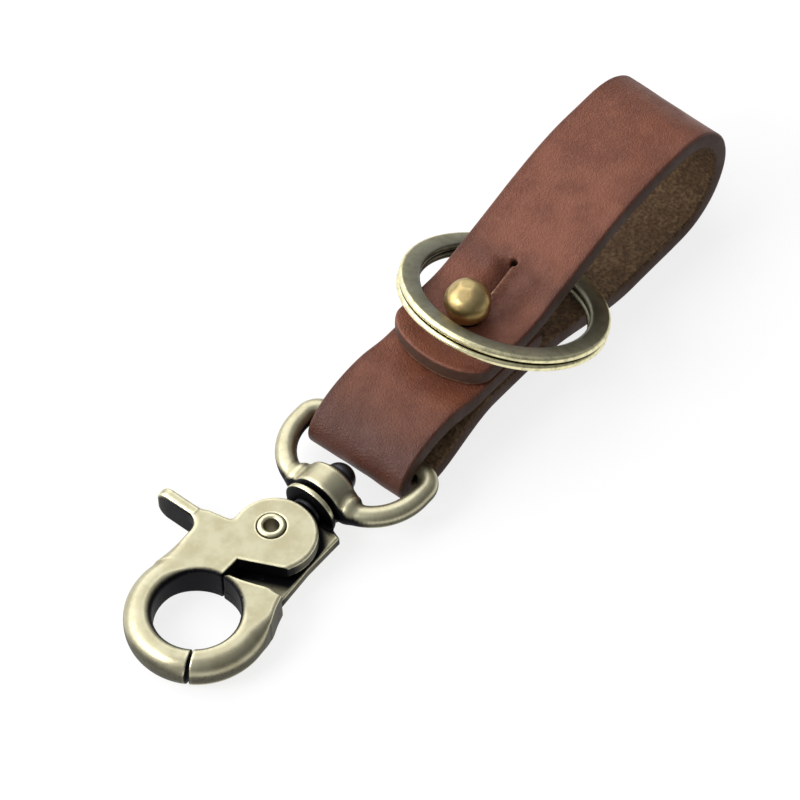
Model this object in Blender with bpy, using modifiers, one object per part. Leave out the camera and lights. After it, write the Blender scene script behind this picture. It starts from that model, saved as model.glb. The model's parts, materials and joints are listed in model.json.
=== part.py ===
"""A leather keychain: a folded strap with a button stud, a split ring and a swivel trigger snap.

The strap lies along X with its far loop at +X and the snap at -X. Z is up, and Z = 0 is the
surface that the keychain lies on. The origin is below the middle of the whole keychain.
All sizes are in metres.
"""

import math

import bmesh
import bpy
from mathutils import Matrix, Vector

MM = 0.001

# General clearances
CLEARANCE = 0.3 * MM
CUT_OVERRUN = 1.0 * MM
MERGE = 0.01 * MM
JOIN_STEP = 0.05 * MM
SMOOTH_ANGLE = math.radians(35)

# Leather strip: one strip folded round the swivel eye, looped at the far end, buttoned on a stud
STRAP_WIDTH = 19.5 * MM
LEATHER = 3.5 * MM
LEATHER_EDGE_ROUND = 0.45 * MM
FOLD_HOLLOW_RADIUS = 2.5 * MM
FOLD_TO_STUD = 23.5 * MM
STUD_UNDERSIDE_HEIGHT = 5.0 * MM
STACK_HALF_LENGTH = 5.0 * MM
TOP_LAP_PAST_STUD = 7.0 * MM
STUD_TO_LOOP = 43.9 * MM
LOOP_RADIUS = 12.4 * MM
FLAT_UNDER_LOOP = 13.0 * MM
CREST_LENGTH = 5.0 * MM

# Tongue: the free end of the strip, from the crest of the loop to its rounded tip
TONGUE_TIP_PAST_STUD = 10.8 * MM
TIP_ROUND_LENGTH = 5.0 * MM
TONGUE_SEAT_PAST_STUD = 2.0 * MM
TONGUE_LIFT_LENGTH = 6.0 * MM
TONGUE_LIFT = 1.1 * MM
TONGUE_RISE_SHARE = 0.33
KEYHOLE_STRETCH = 1.7 * MM
SLIT_LENGTH = 11.5 * MM
SLIT_WIDTH = 0.8 * MM
SLIT_END_RADIUS = 1.0 * MM

# Button stud and the slotted screw that holds it from below
BALL_RADIUS = 3.8 * MM
BALL_SINK_SHARE = 0.1
NECK_RADIUS = 2.0 * MM
FLANGE_RADIUS = 4.2 * MM
FLANGE_THICKNESS = 0.9 * MM
POST_RADIUS = 2.3 * MM
POST_BORE_RADIUS = 1.6 * MM
SCREW_HEAD_RADIUS = 4.0 * MM
SCREW_HEAD_THICKNESS = 1.0 * MM
SCREW_SHANK_LENGTH = 4.0 * MM
SCREW_SLOT_WIDTH = 1.0 * MM
SCREW_SLOT_DEPTH = 0.5 * MM
STUD_EDGE_ROUND = 0.2 * MM

# Split ring: one flat spring strip wound twice, lying on the tongue's edges
RING_OUTER_RADIUS = 18.0 * MM
RING_STRIP_WIDTH = 3.6 * MM
RING_STRIP_THICKNESS = 1.3 * MM
RING_COIL_GAP = 0.2 * MM
RING_STRIP_ROUND = 0.4 * MM
RING_STEP_ANGLE = math.radians(15)
RING_END_ANGLE = math.radians(21)
RING_ENDS_TURN = math.radians(30)
RING_NEAR_RIM_PAST_STUD = 6.0 * MM
RING_FAR_EDGE_GAP = 0.9 * MM
RING_SIDE_PLAY_SHARE = 0.37

# Swivel eye: a bent wire loop with a collar, its straight bar lying in the strap's fold
EYE_WIRE_RADIUS = 1.8 * MM
EYE_SIDE_ROOM = 0.95 * MM
EYE_FRONT_CORNER = 7.4 * MM
EYE_BACK_CORNER = 2.6 * MM
BAR_TO_COLLAR = 12.4 * MM
COLLAR_RADIUS = 4.9 * MM
COLLAR_LENGTH = 4.8 * MM
COLLAR_EDGE_ROUND = 0.6 * MM
COLLAR_TO_EYE_FRONT = 1.1 * MM
SHOULDER_RADIUS = 2.3 * MM
SHOULDER_REACH = 1.1 * MM

# Swivel rivet: the pin that joins the snap to the collar
RIVET_RADIUS = 1.7 * MM
RIVET_WASHER_RADIUS = 3.1 * MM
RIVET_WASHER_THICKNESS = 0.8 * MM
RIVET_DOME_RADIUS = 2.7 * MM
RIVET_DOME_HEIGHT = 2.5 * MM
RIVET_INNER_HEAD_RADIUS = 2.6 * MM
RIVET_INNER_HEAD_THICKNESS = 0.6 * MM

# Snap frame: end flange, back plate and fixed jaw
SNAP_THICKNESS = 6.4 * MM
SNAP_FLANGE_RADIUS = 5.0 * MM
SNAP_FLANGE_THICKNESS = 1.0 * MM
SNAP_FLANGE_ROUND = 0.35 * MM
FRAME_GROOVE = 0.9 * MM
BACK_PLATE_THICKNESS = 2.2 * MM
BACK_PLATE_HALF_WIDTH = 6.9 * MM
PLATE_EDGE_ROUND = 0.5 * MM
JAW_EDGE_ROUND = 1.6 * MM
JAW_ROOT_ROUND = 0.7 * MM
HOOK_RADIUS = 12.1 * MM
JAW_WIDTH = 4.5 * MM
COLLAR_TO_HOOK_RIM = 19.2 * MM
HOOK_SIDE_OFFSET = 0.5 * MM
GATE_GAP = 0.5 * MM
GATE_OUTER_ANGLE = math.radians(-31)
GATE_INNER_ANGLE = math.radians(-36)
JAW_ROOT_OFFSET = 8.5 * MM
JAW_SHOULDER_OFFSET = 10.3 * MM
JAW_TIP_OFFSET = 12.1 * MM
JAW_TIP_DROP = 1.1 * MM
JAW_SHOULDER_DROP = 2.4 * MM
JAW_ROOT_DROP = 6.1 * MM
JAW_HEEL_DROP = 8.6 * MM

# Trigger: the lever with the thumb tab and the moving jaw
COLLAR_TO_PIVOT = 12.0 * MM
PIVOT_SIDE_OFFSET = 1.25 * MM
LEVER_DISC_RADIUS = 7.2 * MM
DISC_PAST_PIVOT = 0.85 * MM
LEVER_PLATE_THICKNESS = 2.9 * MM
NOTCH_OFFSET = 8.3 * MM
NOTCH_RISE = 0.15 * MM
ARCH_ROOT_OFFSET = 9.4 * MM
TAB_OFFSET = 4.3 * MM
TAB_THICKNESS = 2.0 * MM
TAB_ROOT_RISE = 9.4 * MM
TAB_TOP_RISE = 19.2 * MM
TAB_CORNER_RADIUS = 2.3 * MM
TAB_EDGE_ROUND = 0.5 * MM
TAB_FILLET_SHARE = 0.4

# Pivot eyelet and the torsion spring round it
EYELET_RADIUS = 1.75 * MM
EYELET_BORE_RADIUS = 1.25 * MM
EYELET_HEAD_RADIUS = 2.35 * MM
EYELET_HEAD_THICKNESS = 0.65 * MM
EYELET_HEAD_PROUD = 0.35 * MM
SPRING_WIRE_RADIUS = 0.3 * MM
SPRING_COIL_RADIUS = 3.0 * MM
SPRING_TURNS = 2.5
SPRING_PITCH = 1.05 * MM
SPRING_POINTS_PER_TURN = 10
SPRING_POCKET_WALL = 0.3 * MM

# Facets
ARC_STEP = math.radians(9)
TURN_STEPS = 36
WIRE_SIDES_RESOLUTION = 4
CURVE_STEPS = 12
TIP_STEPS = 6
HOOK_STEPS = 48
JAW_ROUND_STEPS = 3
RING_REST_TRIES = 12

# Places along the strap, measured from the stud until everything is centred
FOLD_RADIUS = FOLD_HOLLOW_RADIUS + LEATHER
LAP_TOP = STUD_UNDERSIDE_HEIGHT + 2 * LEATHER + CLEARANCE
TONGUE_UNDER = LAP_TOP + CLEARANCE
TONGUE_TOP = TONGUE_UNDER + LEATHER
LOOP_TOP = 2 * LOOP_RADIUS
BALL_CENTRE_HEIGHT = TONGUE_TOP + (1 - BALL_SINK_SHARE) * BALL_RADIUS
HINGE_X = STUD_TO_LOOP - CREST_LENGTH
RING_MID_RADIUS = RING_OUTER_RADIUS - RING_STRIP_WIDTH / 2
RING_HALF_THICKNESS = RING_STRIP_THICKNESS + RING_COIL_GAP / 2
RING_INNER_RADIUS = RING_OUTER_RADIUS - RING_STRIP_WIDTH
RING_SIDE_OFFSET = -RING_SIDE_PLAY_SHARE * (RING_INNER_RADIUS - STRAP_WIDTH / 2)
RING_ALONG = math.sqrt(RING_INNER_RADIUS**2 - (STRAP_WIDTH / 2 - RING_SIDE_OFFSET) ** 2)

# The eye's width between the middles of its wires, with room for the strap between them
EYE_WIDTH = STRAP_WIDTH + 2 * (EYE_WIRE_RADIUS + EYE_SIDE_ROOM)

# Places along the snap, measured from the middle of the collar towards the hook
HOOK_HOLE_RADIUS = HOOK_RADIUS - JAW_WIDTH
COLLAR_TO_HOOK = COLLAR_TO_HOOK_RIM + HOOK_RADIUS
FLANGE_START = COLLAR_LENGTH / 2 + FRAME_GROOVE
FLANGE_END = FLANGE_START + SNAP_FLANGE_THICKNESS
DISC_CENTRE = COLLAR_TO_PIVOT + DISC_PAST_PIVOT
HALF_SNAP = SNAP_THICKNESS / 2
BACK_PLATE_TOP = -HALF_SNAP + BACK_PLATE_THICKNESS
LEVER_UNDER = HALF_SNAP - LEVER_PLATE_THICKNESS
SPRING_HEIGHT = SPRING_TURNS * SPRING_PITCH + 2 * SPRING_WIRE_RADIUS

# The eye's bar lies against the front of the fold
BAR_X = -FOLD_TO_STUD - (FOLD_HOLLOW_RADIUS - EYE_WIRE_RADIUS - CLEARANCE)

# The snap's rest pitch: its bar lies in the fold and its tip touches the ground
TIP_REACH = BAR_TO_COLLAR + COLLAR_TO_HOOK + HOOK_RADIUS - JAW_EDGE_ROUND
SNAP_PITCH = (math.asin(FOLD_RADIUS / math.hypot(TIP_REACH, HALF_SNAP))
              - math.atan2(HALF_SNAP, TIP_REACH))

# The keychain's middle, measured from the stud; the thumb tab and the ring reach out sideways
TIP_X = BAR_X - (TIP_REACH + JAW_EDGE_ROUND) * math.cos(SNAP_PITCH)
LOOP_END_X = STUD_TO_LOOP + LOOP_RADIUS
MIDDLE_X = (TIP_X + LOOP_END_X) / 2
MIDDLE_Y = (PIVOT_SIDE_OFFSET + TAB_TOP_RISE + RING_SIDE_OFFSET - RING_OUTER_RADIUS) / 2


def clear_scene():
    """Remove every object of the opened file."""
    for item in list(bpy.data.objects):
        bpy.data.objects.remove(item, do_unlink=True)


def make_collection(name):
    """Return a new collection in the scene."""
    collection = bpy.data.collections.new(name)
    bpy.context.scene.collection.children.link(collection)
    return collection


def make_material(name, colour, roughness, metallic):
    """Return a Principled material."""
    material = bpy.data.materials.new(name)
    material.use_nodes = True
    shader = material.node_tree.nodes["Principled BSDF"]
    shader.inputs["Base Color"].default_value = (*colour, 1.0)
    shader.inputs["Roughness"].default_value = roughness
    shader.inputs["Metallic"].default_value = metallic
    material.diffuse_color = (*colour, 1.0)
    return material


class Shop:
    """The collections and materials that every piece draws on."""

    def __init__(self):
        self.parts = make_collection("leather_keychain")
        self.cutters = make_collection("keychain_cutters")
        self.leather = make_material("grain_leather", (0.24, 0.115, 0.085), 0.55, 0.0)
        self.brass = make_material("antique_brass", (0.42, 0.38, 0.24), 0.38, 1.0)
        self.ball_brass = make_material("worn_brass", (0.46, 0.34, 0.14), 0.35, 1.0)
        self.dark_steel = make_material("dark_steel", (0.06, 0.06, 0.065), 0.45, 1.0)
        self.spring_steel = make_material("spring_steel", (0.35, 0.35, 0.36), 0.35, 1.0)

    def empty(self, name, parent, location=(0, 0, 0), rotation=(0, 0, 0)):
        """Add an empty that carries other pieces."""
        item = bpy.data.objects.new(name, None)
        item.parent = parent
        item.location = location
        item.rotation_euler = rotation
        self.parts.objects.link(item)
        return item

    def piece(self, name, mesh, parent, material, matrix=None):
        """Add a finished piece to the parts."""
        item = bpy.data.objects.new(name, mesh)
        item.parent = parent
        if matrix is not None:
            item.matrix_local = matrix
        mesh.materials.clear()
        mesh.materials.append(material)
        self.parts.objects.link(item)
        return item

    def cutter(self, name, mesh, parent, matrix=None):
        """Add a shape that only cuts or joins."""
        item = bpy.data.objects.new(name, mesh)
        item.parent = parent
        if matrix is not None:
            item.matrix_local = matrix
        item.hide_render = True
        item.display_type = "WIRE"
        self.cutters.objects.link(item)
        return item


def arc(centre_x, centre_y, radius, start, end):
    """Return points on an arc from the start angle to the end angle."""
    count = max(2, math.ceil(abs(end - start) / ARC_STEP))
    angles = [start + (end - start) * i / count for i in range(count + 1)]
    return [(centre_x + radius * math.cos(a), centre_y + radius * math.sin(a)) for a in angles]


def ease(start, start_slope, end, end_slope):
    """Return points on a cubic curve between two points with the given slopes dz/dx."""
    run = end[0] - start[0]
    points = []
    for i in range(CURVE_STEPS + 1):
        t = i / CURVE_STEPS
        height = ((2 * t**3 - 3 * t**2 + 1) * start[1] + (t**3 - 2 * t**2 + t) * run * start_slope
                  + (3 * t**2 - 2 * t**3) * end[1] + (t**3 - t**2) * run * end_slope)
        points.append((start[0] + run * t, height))
    return points


def without_repeats(points):
    """Drop points that repeat the one before them."""
    kept = [points[0]]
    for point in points[1:]:
        if math.dist(point, kept[-1]) > MERGE:
            kept.append(point)
    return kept


def mesh_of(item):
    """Return the evaluated mesh of a scratch object, welded, and remove the object."""
    bpy.context.view_layer.update()
    graph = bpy.context.evaluated_depsgraph_get()
    mesh = bpy.data.meshes.new_from_object(item.evaluated_get(graph))
    work = bmesh.new()
    work.from_mesh(mesh)
    bmesh.ops.remove_doubles(work, verts=work.verts, dist=MERGE)
    bmesh.ops.recalc_face_normals(work, faces=work.faces)
    work.to_mesh(mesh)
    work.free()
    bpy.data.objects.remove(item, do_unlink=True)
    return mesh


def scratch(data):
    """Put data in an object that mesh_of takes away again."""
    item = bpy.data.objects.new("scratch", data)
    bpy.context.scene.collection.objects.link(item)
    return item


def smooth(mesh):
    """Shade a mesh smooth apart from its real edges."""
    mesh.shade_smooth()
    mesh.set_sharp_from_angle(angle=SMOOTH_ANGLE)
    return mesh


def turned(profile, closed=False, steps=TURN_STEPS):
    """Turn a profile of (radius, height) points round Z, listed down its outer side."""
    mesh = bpy.data.meshes.new("turned")
    count = len(profile)
    edges = [(i, i + 1) for i in range(count - 1)]
    if closed:
        edges.append((count - 1, 0))
    mesh.from_pydata([(r, 0, z) for r, z in profile], edges, [])
    item = scratch(mesh)
    screw = item.modifiers.new("Turn", "SCREW")
    screw.steps = steps
    screw.render_steps = steps
    screw.use_merge_vertices = True
    screw.merge_threshold = MERGE
    return smooth(mesh_of(item))


def flat_plate(outline, low, high, edge_round):
    """Extrude an outline in XY from low to high, with its edges rounded."""
    curve = bpy.data.curves.new("outline", "CURVE")
    curve.dimensions = "2D"
    curve.fill_mode = "BOTH"
    curve.extrude = (high - low) / 2 - edge_round
    curve.bevel_depth = edge_round
    curve.bevel_resolution = 1
    curve.offset = -edge_round
    spline = curve.splines.new("POLY")
    spline.points.add(len(outline) - 1)
    for point, (x, y) in zip(spline.points, outline):
        point.co = (x, y, 0, 1)
    spline.use_cyclic_u = True
    mesh = mesh_of(scratch(curve))
    mesh.transform(Matrix.Translation((0, 0, (low + high) / 2)))
    return smooth(mesh)


def wire(points, radius, cyclic=False, resolution=WIRE_SIDES_RESOLUTION):
    """Return a round wire along a list of points."""
    curve = bpy.data.curves.new("wire", "CURVE")
    curve.dimensions = "3D"
    curve.bevel_depth = radius
    curve.bevel_resolution = resolution
    curve.use_fill_caps = not cyclic
    spline = curve.splines.new("POLY")
    spline.points.add(len(points) - 1)
    for point, place in zip(spline.points, points):
        point.co = (*place, 1)
    spline.use_cyclic_u = cyclic
    return smooth(mesh_of(scratch(curve)))


def cylinder(radius, low, high, steps=TURN_STEPS):
    """Return a cylinder round Z from low to high."""
    work = bmesh.new()
    bmesh.ops.create_cone(work, cap_ends=True, segments=steps, radius1=radius, radius2=radius,
                          depth=high - low, matrix=Matrix.Translation((0, 0, (low + high) / 2)))
    mesh = bpy.data.meshes.new("cylinder")
    work.to_mesh(mesh)
    work.free()
    return smooth(mesh)


def block(low, high):
    """Return a box between two corners."""
    low, high = Vector(low), Vector(high)
    work = bmesh.new()
    size = high - low
    matrix = Matrix.Translation((low + high) / 2) @ Matrix.Diagonal((*size, 1))
    bmesh.ops.create_cube(work, size=1, matrix=matrix)
    mesh = bpy.data.meshes.new("block")
    work.to_mesh(mesh)
    work.free()
    return mesh


def boolean(item, tool, operation):
    """Cut, join or trim a piece with another shape."""
    modifier = item.modifiers.new(tool.name, "BOOLEAN")
    modifier.operation = operation
    modifier.solver = "EXACT"
    modifier.object = tool


def strap_rows(path, half_widths):
    """Return the strap's grain surface through a path of (x, z) points, facing its flesh side."""
    work = bmesh.new()
    row = [work.verts.new((x, 0, z)) for x, z in path]
    edges = [work.edges.new(pair) for pair in zip(row, row[1:])]
    swept = bmesh.ops.extrude_edge_only(work, edges=edges)["geom"]
    far = [part for part in swept if isinstance(part, bmesh.types.BMVert)]
    far.sort(key=lambda vert: min(range(len(row)), key=lambda i: (row[i].co - vert.co).length))
    for near, away, half in zip(row, far, half_widths):
        near.co.y = -half
        away.co.y = half
    work.normal_update()
    if row[0].link_faces[0].normal.z > 0:
        bmesh.ops.reverse_faces(work, faces=work.faces)
    mesh = bpy.data.meshes.new("strap")
    work.to_mesh(mesh)
    work.free()
    return mesh


def leather_solid(item):
    """Give the strap's surface its thickness and soft edges."""
    shell = item.modifiers.new("Thickness", "SOLIDIFY")
    shell.thickness = LEATHER
    shell.offset = 1
    shell.use_even_offset = True
    edges = item.modifiers.new("Edges", "BEVEL")
    edges.width = LEATHER_EDGE_ROUND
    edges.segments = 2
    edges.limit_method = "ANGLE"
    edges.angle_limit = math.radians(50)


def strap_path():
    """Return the grain side of the strip from the end of the top lap to the loop's crest."""
    seat = -STACK_HALF_LENGTH
    flat_start = STUD_TO_LOOP - FLAT_UNDER_LOOP
    path = [(TOP_LAP_PAST_STUD, LAP_TOP)]
    path += ease((seat, LAP_TOP), 0, (-FOLD_TO_STUD, 2 * FOLD_RADIUS), 0)
    path += arc(-FOLD_TO_STUD, FOLD_RADIUS, FOLD_RADIUS, math.pi / 2, 3 * math.pi / 2)
    path += ease((-FOLD_TO_STUD, 0), 0, (seat, STUD_UNDERSIDE_HEIGHT), 0)
    path += ease((STACK_HALF_LENGTH, STUD_UNDERSIDE_HEIGHT), 0, (flat_start, 0), 0)
    path += arc(STUD_TO_LOOP, LOOP_RADIUS, LOOP_RADIUS, -math.pi / 2, math.pi / 2)
    path.append((HINGE_X, LOOP_TOP))
    return without_repeats(path)


def tongue_rows():
    """Return the tongue's path from the crest to its tip, with the half width at each point."""
    lift_end = TONGUE_SEAT_PAST_STUD + TONGUE_LIFT_LENGTH
    start = HINGE_X - CLEARANCE
    path = ease((start, LOOP_TOP), 0, (lift_end, TONGUE_TOP + TONGUE_LIFT), TONGUE_RISE_SHARE)
    path += ease((lift_end, TONGUE_TOP + TONGUE_LIFT), TONGUE_RISE_SHARE,
                 (TONGUE_SEAT_PAST_STUD, TONGUE_TOP), 0)
    path = without_repeats(path)
    halves = [STRAP_WIDTH / 2] * len(path)
    tip_start = -TONGUE_TIP_PAST_STUD + TIP_ROUND_LENGTH
    for i in range(TIP_STEPS):
        angle = math.pi / 2 * i / TIP_STEPS
        path.append((tip_start - TIP_ROUND_LENGTH * math.sin(angle), TONGUE_TOP))
        halves.append(STRAP_WIDTH / 2 * math.cos(angle))
    return path, halves


def build_strap(shop, layout):
    """Make the fixed length of the strip: top lap, fold, bottom run and far loop."""
    path = strap_path()
    mesh = strap_rows(path, [STRAP_WIDTH / 2] * len(path))
    strap = shop.piece("strap", mesh, layout, shop.leather)
    leather_solid(strap)
    post_hole = shop.cutter("post_hole", cylinder(
        POST_RADIUS + CLEARANCE, STUD_UNDERSIDE_HEIGHT - CUT_OVERRUN, LAP_TOP + CUT_OVERRUN), layout)
    flange_seat = shop.cutter("flange_seat", cylinder(
        FLANGE_RADIUS + CLEARANCE, LAP_TOP - FLANGE_THICKNESS - CLEARANCE, LAP_TOP + CUT_OVERRUN), layout)
    screw_seat = shop.cutter("screw_seat", cylinder(
        SCREW_HEAD_RADIUS + CLEARANCE, STUD_UNDERSIDE_HEIGHT - CUT_OVERRUN,
        STUD_UNDERSIDE_HEIGHT + SCREW_HEAD_THICKNESS + CLEARANCE), layout)
    for tool in (post_hole, flange_seat, screw_seat):
        boolean(strap, tool, "DIFFERENCE")
    return strap


def keyhole_outline():
    """Return the keyhole: a hole for the ball, and a slit from it that ends in a small hole."""
    radius = BALL_RADIUS + CLEARANCE
    slit = math.asin(SLIT_WIDTH / 2 / radius)
    end = math.asin(SLIT_WIDTH / 2 / SLIT_END_RADIUS)
    points = arc(0, 0, radius, math.pi / 2, 3 * math.pi / 2)
    points += arc(KEYHOLE_STRETCH, 0, radius, -math.pi / 2, -slit)
    points += arc(SLIT_LENGTH, 0, SLIT_END_RADIUS, end - math.pi, math.pi - end)
    points += arc(KEYHOLE_STRETCH, 0, radius, slit, math.pi / 2)
    return without_repeats(points)


def build_tongue(shop, hinge):
    """Make the tongue on its living hinge, with the keyhole that buttons over the ball."""
    path, halves = tongue_rows()
    mesh = strap_rows(path, halves)
    shift = Matrix.Translation((-HINGE_X, 0, -LOOP_TOP))
    tongue = shop.piece("strap_tongue", mesh, hinge, shop.leather, shift)
    leather_solid(tongue)
    keyhole = flat_plate(keyhole_outline(), TONGUE_UNDER - CUT_OVERRUN, LOOP_TOP, 0)
    boolean(tongue, shop.cutter("keyhole", keyhole, hinge, shift), "DIFFERENCE")
    return tongue


def build_stud(shop, layout):
    """Make the button stud: ball, neck, flange and a hollow post through both lower layers."""
    ball_angle = math.acos(NECK_RADIUS / BALL_RADIUS)
    profile = [(BALL_RADIUS * math.cos(a), BALL_CENTRE_HEIGHT + BALL_RADIUS * math.sin(a))
               for a in (math.pi / 2 - (math.pi / 2 + ball_angle) * i / CURVE_STEPS
                         for i in range(CURVE_STEPS + 1))]
    profile[0] = (0, BALL_CENTRE_HEIGHT + BALL_RADIUS)
    flange_low = LAP_TOP - FLANGE_THICKNESS
    post_end = STUD_UNDERSIDE_HEIGHT + SCREW_HEAD_THICKNESS + CLEARANCE
    bore_end = post_end + SCREW_SHANK_LENGTH + CLEARANCE
    profile += [(NECK_RADIUS, LAP_TOP),
                (FLANGE_RADIUS - STUD_EDGE_ROUND, LAP_TOP),
                (FLANGE_RADIUS, LAP_TOP - STUD_EDGE_ROUND),
                (FLANGE_RADIUS, flange_low),
                (POST_RADIUS, flange_low),
                (POST_RADIUS, post_end),
                (POST_BORE_RADIUS, post_end),
                (POST_BORE_RADIUS, bore_end),
                (0, bore_end)]
    return shop.piece("stud_ball", turned(profile), layout, shop.ball_brass)


def build_stud_screw(shop, layout):
    """Make the slotted screw, flush in the leather under the stud."""
    head_top = STUD_UNDERSIDE_HEIGHT + SCREW_HEAD_THICKNESS
    shank_radius = POST_BORE_RADIUS - CLEARANCE
    profile = [(0, head_top + SCREW_SHANK_LENGTH),
               (shank_radius, head_top + SCREW_SHANK_LENGTH),
               (shank_radius, head_top),
               (SCREW_HEAD_RADIUS, head_top),
               (SCREW_HEAD_RADIUS, STUD_UNDERSIDE_HEIGHT + STUD_EDGE_ROUND),
               (SCREW_HEAD_RADIUS - STUD_EDGE_ROUND, STUD_UNDERSIDE_HEIGHT),
               (0, STUD_UNDERSIDE_HEIGHT)]
    screw = shop.piece("stud_screw", turned(profile), layout, shop.brass)
    reach = SCREW_HEAD_RADIUS + CUT_OVERRUN
    slot = block((-reach, -SCREW_SLOT_WIDTH / 2, STUD_UNDERSIDE_HEIGHT - CUT_OVERRUN),
                 (reach, SCREW_SLOT_WIDTH / 2, STUD_UNDERSIDE_HEIGHT + SCREW_SLOT_DEPTH))
    boolean(screw, shop.cutter("screw_slot", slot, layout), "DIFFERENCE")
    return screw


def ring_rest():
    """Return the ring's tilt and its far lower edge, which it turns on.

    Its inner rim lies on the tongue's edge and its far edge is just above the bottom run, whose
    height depends on where that edge comes, so the two are settled in turn.
    """
    flat_start = STUD_TO_LOOP - FLAT_UNDER_LOOP
    height = LEATHER
    for _ in range(RING_REST_TRIES):
        tilt = math.asin((TONGUE_TOP + CLEARANCE - height) / (RING_ALONG + RING_OUTER_RADIUS))
        past = ((RING_INNER_RADIUS + RING_OUTER_RADIUS) * math.cos(tilt)
                - RING_NEAR_RIM_PAST_STUD - RING_HALF_THICKNESS * math.sin(tilt))
        share = min(1, max(0, (past - STACK_HALF_LENGTH) / (flat_start - STACK_HALF_LENGTH)))
        fall = share * share * (3 - 2 * share)
        height = STUD_UNDERSIDE_HEIGHT * (1 - fall) + LEATHER + RING_FAR_EDGE_GAP
    return tilt, (past, RING_SIDE_OFFSET, height)


def build_ring(shop, hinge):
    """Make the split ring: a flat strip wound twice, stepping down where its ends lie."""
    pitch = RING_STRIP_THICKNESS + RING_COIL_GAP
    start, end = RING_END_ANGLE, 4 * math.pi - RING_END_ANGLE
    step_start, step_end = 2 * math.pi - RING_STEP_ANGLE, 2 * math.pi + RING_STEP_ANGLE
    count = math.ceil((end - start) / ARC_STEP)
    half_wide = RING_STRIP_WIDTH / 2
    half_thick = RING_STRIP_THICKNESS / 2
    cut = RING_STRIP_ROUND
    section = [(half_wide - cut, half_thick), (half_wide, half_thick - cut),
               (half_wide, cut - half_thick), (half_wide - cut, -half_thick),
               (cut - half_wide, -half_thick), (-half_wide, cut - half_thick),
               (-half_wide, half_thick - cut), (cut - half_wide, half_thick)]
    work = bmesh.new()
    rows = []
    for i in range(count + 1):
        angle = start + (end - start) * i / count
        share = min(1, max(0, (angle - step_start) / (step_end - step_start)))
        drop = share * share * (3 - 2 * share)
        height = pitch * (1 / 2 - drop)
        rows.append([work.verts.new(((RING_MID_RADIUS + across) * math.cos(angle),
                                     (RING_MID_RADIUS + across) * math.sin(angle),
                                     height + up)) for across, up in section])
    sides = len(section)
    for row, following in zip(rows, rows[1:]):
        for i in range(sides):
            j = (i + 1) % sides
            work.faces.new((row[i], row[j], following[j], following[i]))
    work.faces.new(rows[0])
    work.faces.new(reversed(rows[-1]))
    bmesh.ops.recalc_face_normals(work, faces=work.faces)
    mesh = bpy.data.meshes.new("ring")
    work.to_mesh(mesh)
    work.free()
    middle = Matrix.Translation((-RING_OUTER_RADIUS, 0, RING_HALF_THICKNESS))
    place = middle @ Matrix.Rotation(RING_ENDS_TURN, 4, "Z")
    return shop.piece("split_ring", smooth(mesh), hinge, shop.brass, place)


def eye_path():
    """Return the eye's centre line in its own plane, from the collar round the bar and back."""
    front = -BAR_TO_COLLAR - COLLAR_TO_EYE_FRONT
    half = EYE_WIDTH / 2
    corners = ((-EYE_BACK_CORNER, EYE_BACK_CORNER - half, EYE_BACK_CORNER, -math.pi / 2, 0),
               (-EYE_BACK_CORNER, half - EYE_BACK_CORNER, EYE_BACK_CORNER, 0, math.pi / 2),
               (front + EYE_FRONT_CORNER, half - EYE_FRONT_CORNER, EYE_FRONT_CORNER,
                math.pi / 2, math.pi),
               (front + EYE_FRONT_CORNER, EYE_FRONT_CORNER - half, EYE_FRONT_CORNER,
                math.pi, 3 * math.pi / 2))
    points = []
    for x, y, radius, start, end in corners:
        points += arc(x, y, radius, start, end)
    return [(x, y, 0) for x, y in without_repeats(points)]


def along_snap(distance):
    """Return the matrix of a turned piece whose Z runs towards the hook."""
    return Matrix.Translation((-distance, 0, 0)) @ Matrix.Rotation(-math.pi / 2, 4, "Y")


def build_eye(shop, hinge):
    """Make the swivel eye: wire loop, collar with its bore, and shoulders where the wire enters."""
    eye = shop.piece("swivel_eye", wire(eye_path(), EYE_WIRE_RADIUS, cyclic=True), hinge, shop.brass)
    half = COLLAR_LENGTH / 2
    profile = [(0, half), (COLLAR_RADIUS - COLLAR_EDGE_ROUND, half)]
    profile += [(r, z) for r, z in reversed(arc(COLLAR_RADIUS - COLLAR_EDGE_ROUND,
                                                half - COLLAR_EDGE_ROUND, COLLAR_EDGE_ROUND,
                                                0, math.pi / 2))]
    profile += [(r, -z) for r, z in reversed(profile)]
    collar = shop.cutter("collar", turned(without_repeats(profile)), hinge, along_snap(BAR_TO_COLLAR))
    reach = COLLAR_RADIUS + SHOULDER_REACH
    sideways = (Matrix.Translation((-BAR_TO_COLLAR, 0, 0))
                @ Matrix.Rotation(-math.pi / 2, 4, "X"))
    shoulders = shop.cutter("shoulders", cylinder(SHOULDER_RADIUS, -reach, reach), hinge, sideways)
    bore = shop.cutter("collar_bore", cylinder(
        RIVET_RADIUS + CLEARANCE, -COLLAR_LENGTH, COLLAR_LENGTH), hinge, along_snap(BAR_TO_COLLAR))
    boolean(eye, shoulders, "UNION")
    boolean(eye, collar, "UNION")
    boolean(eye, bore, "DIFFERENCE")
    return eye


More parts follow.
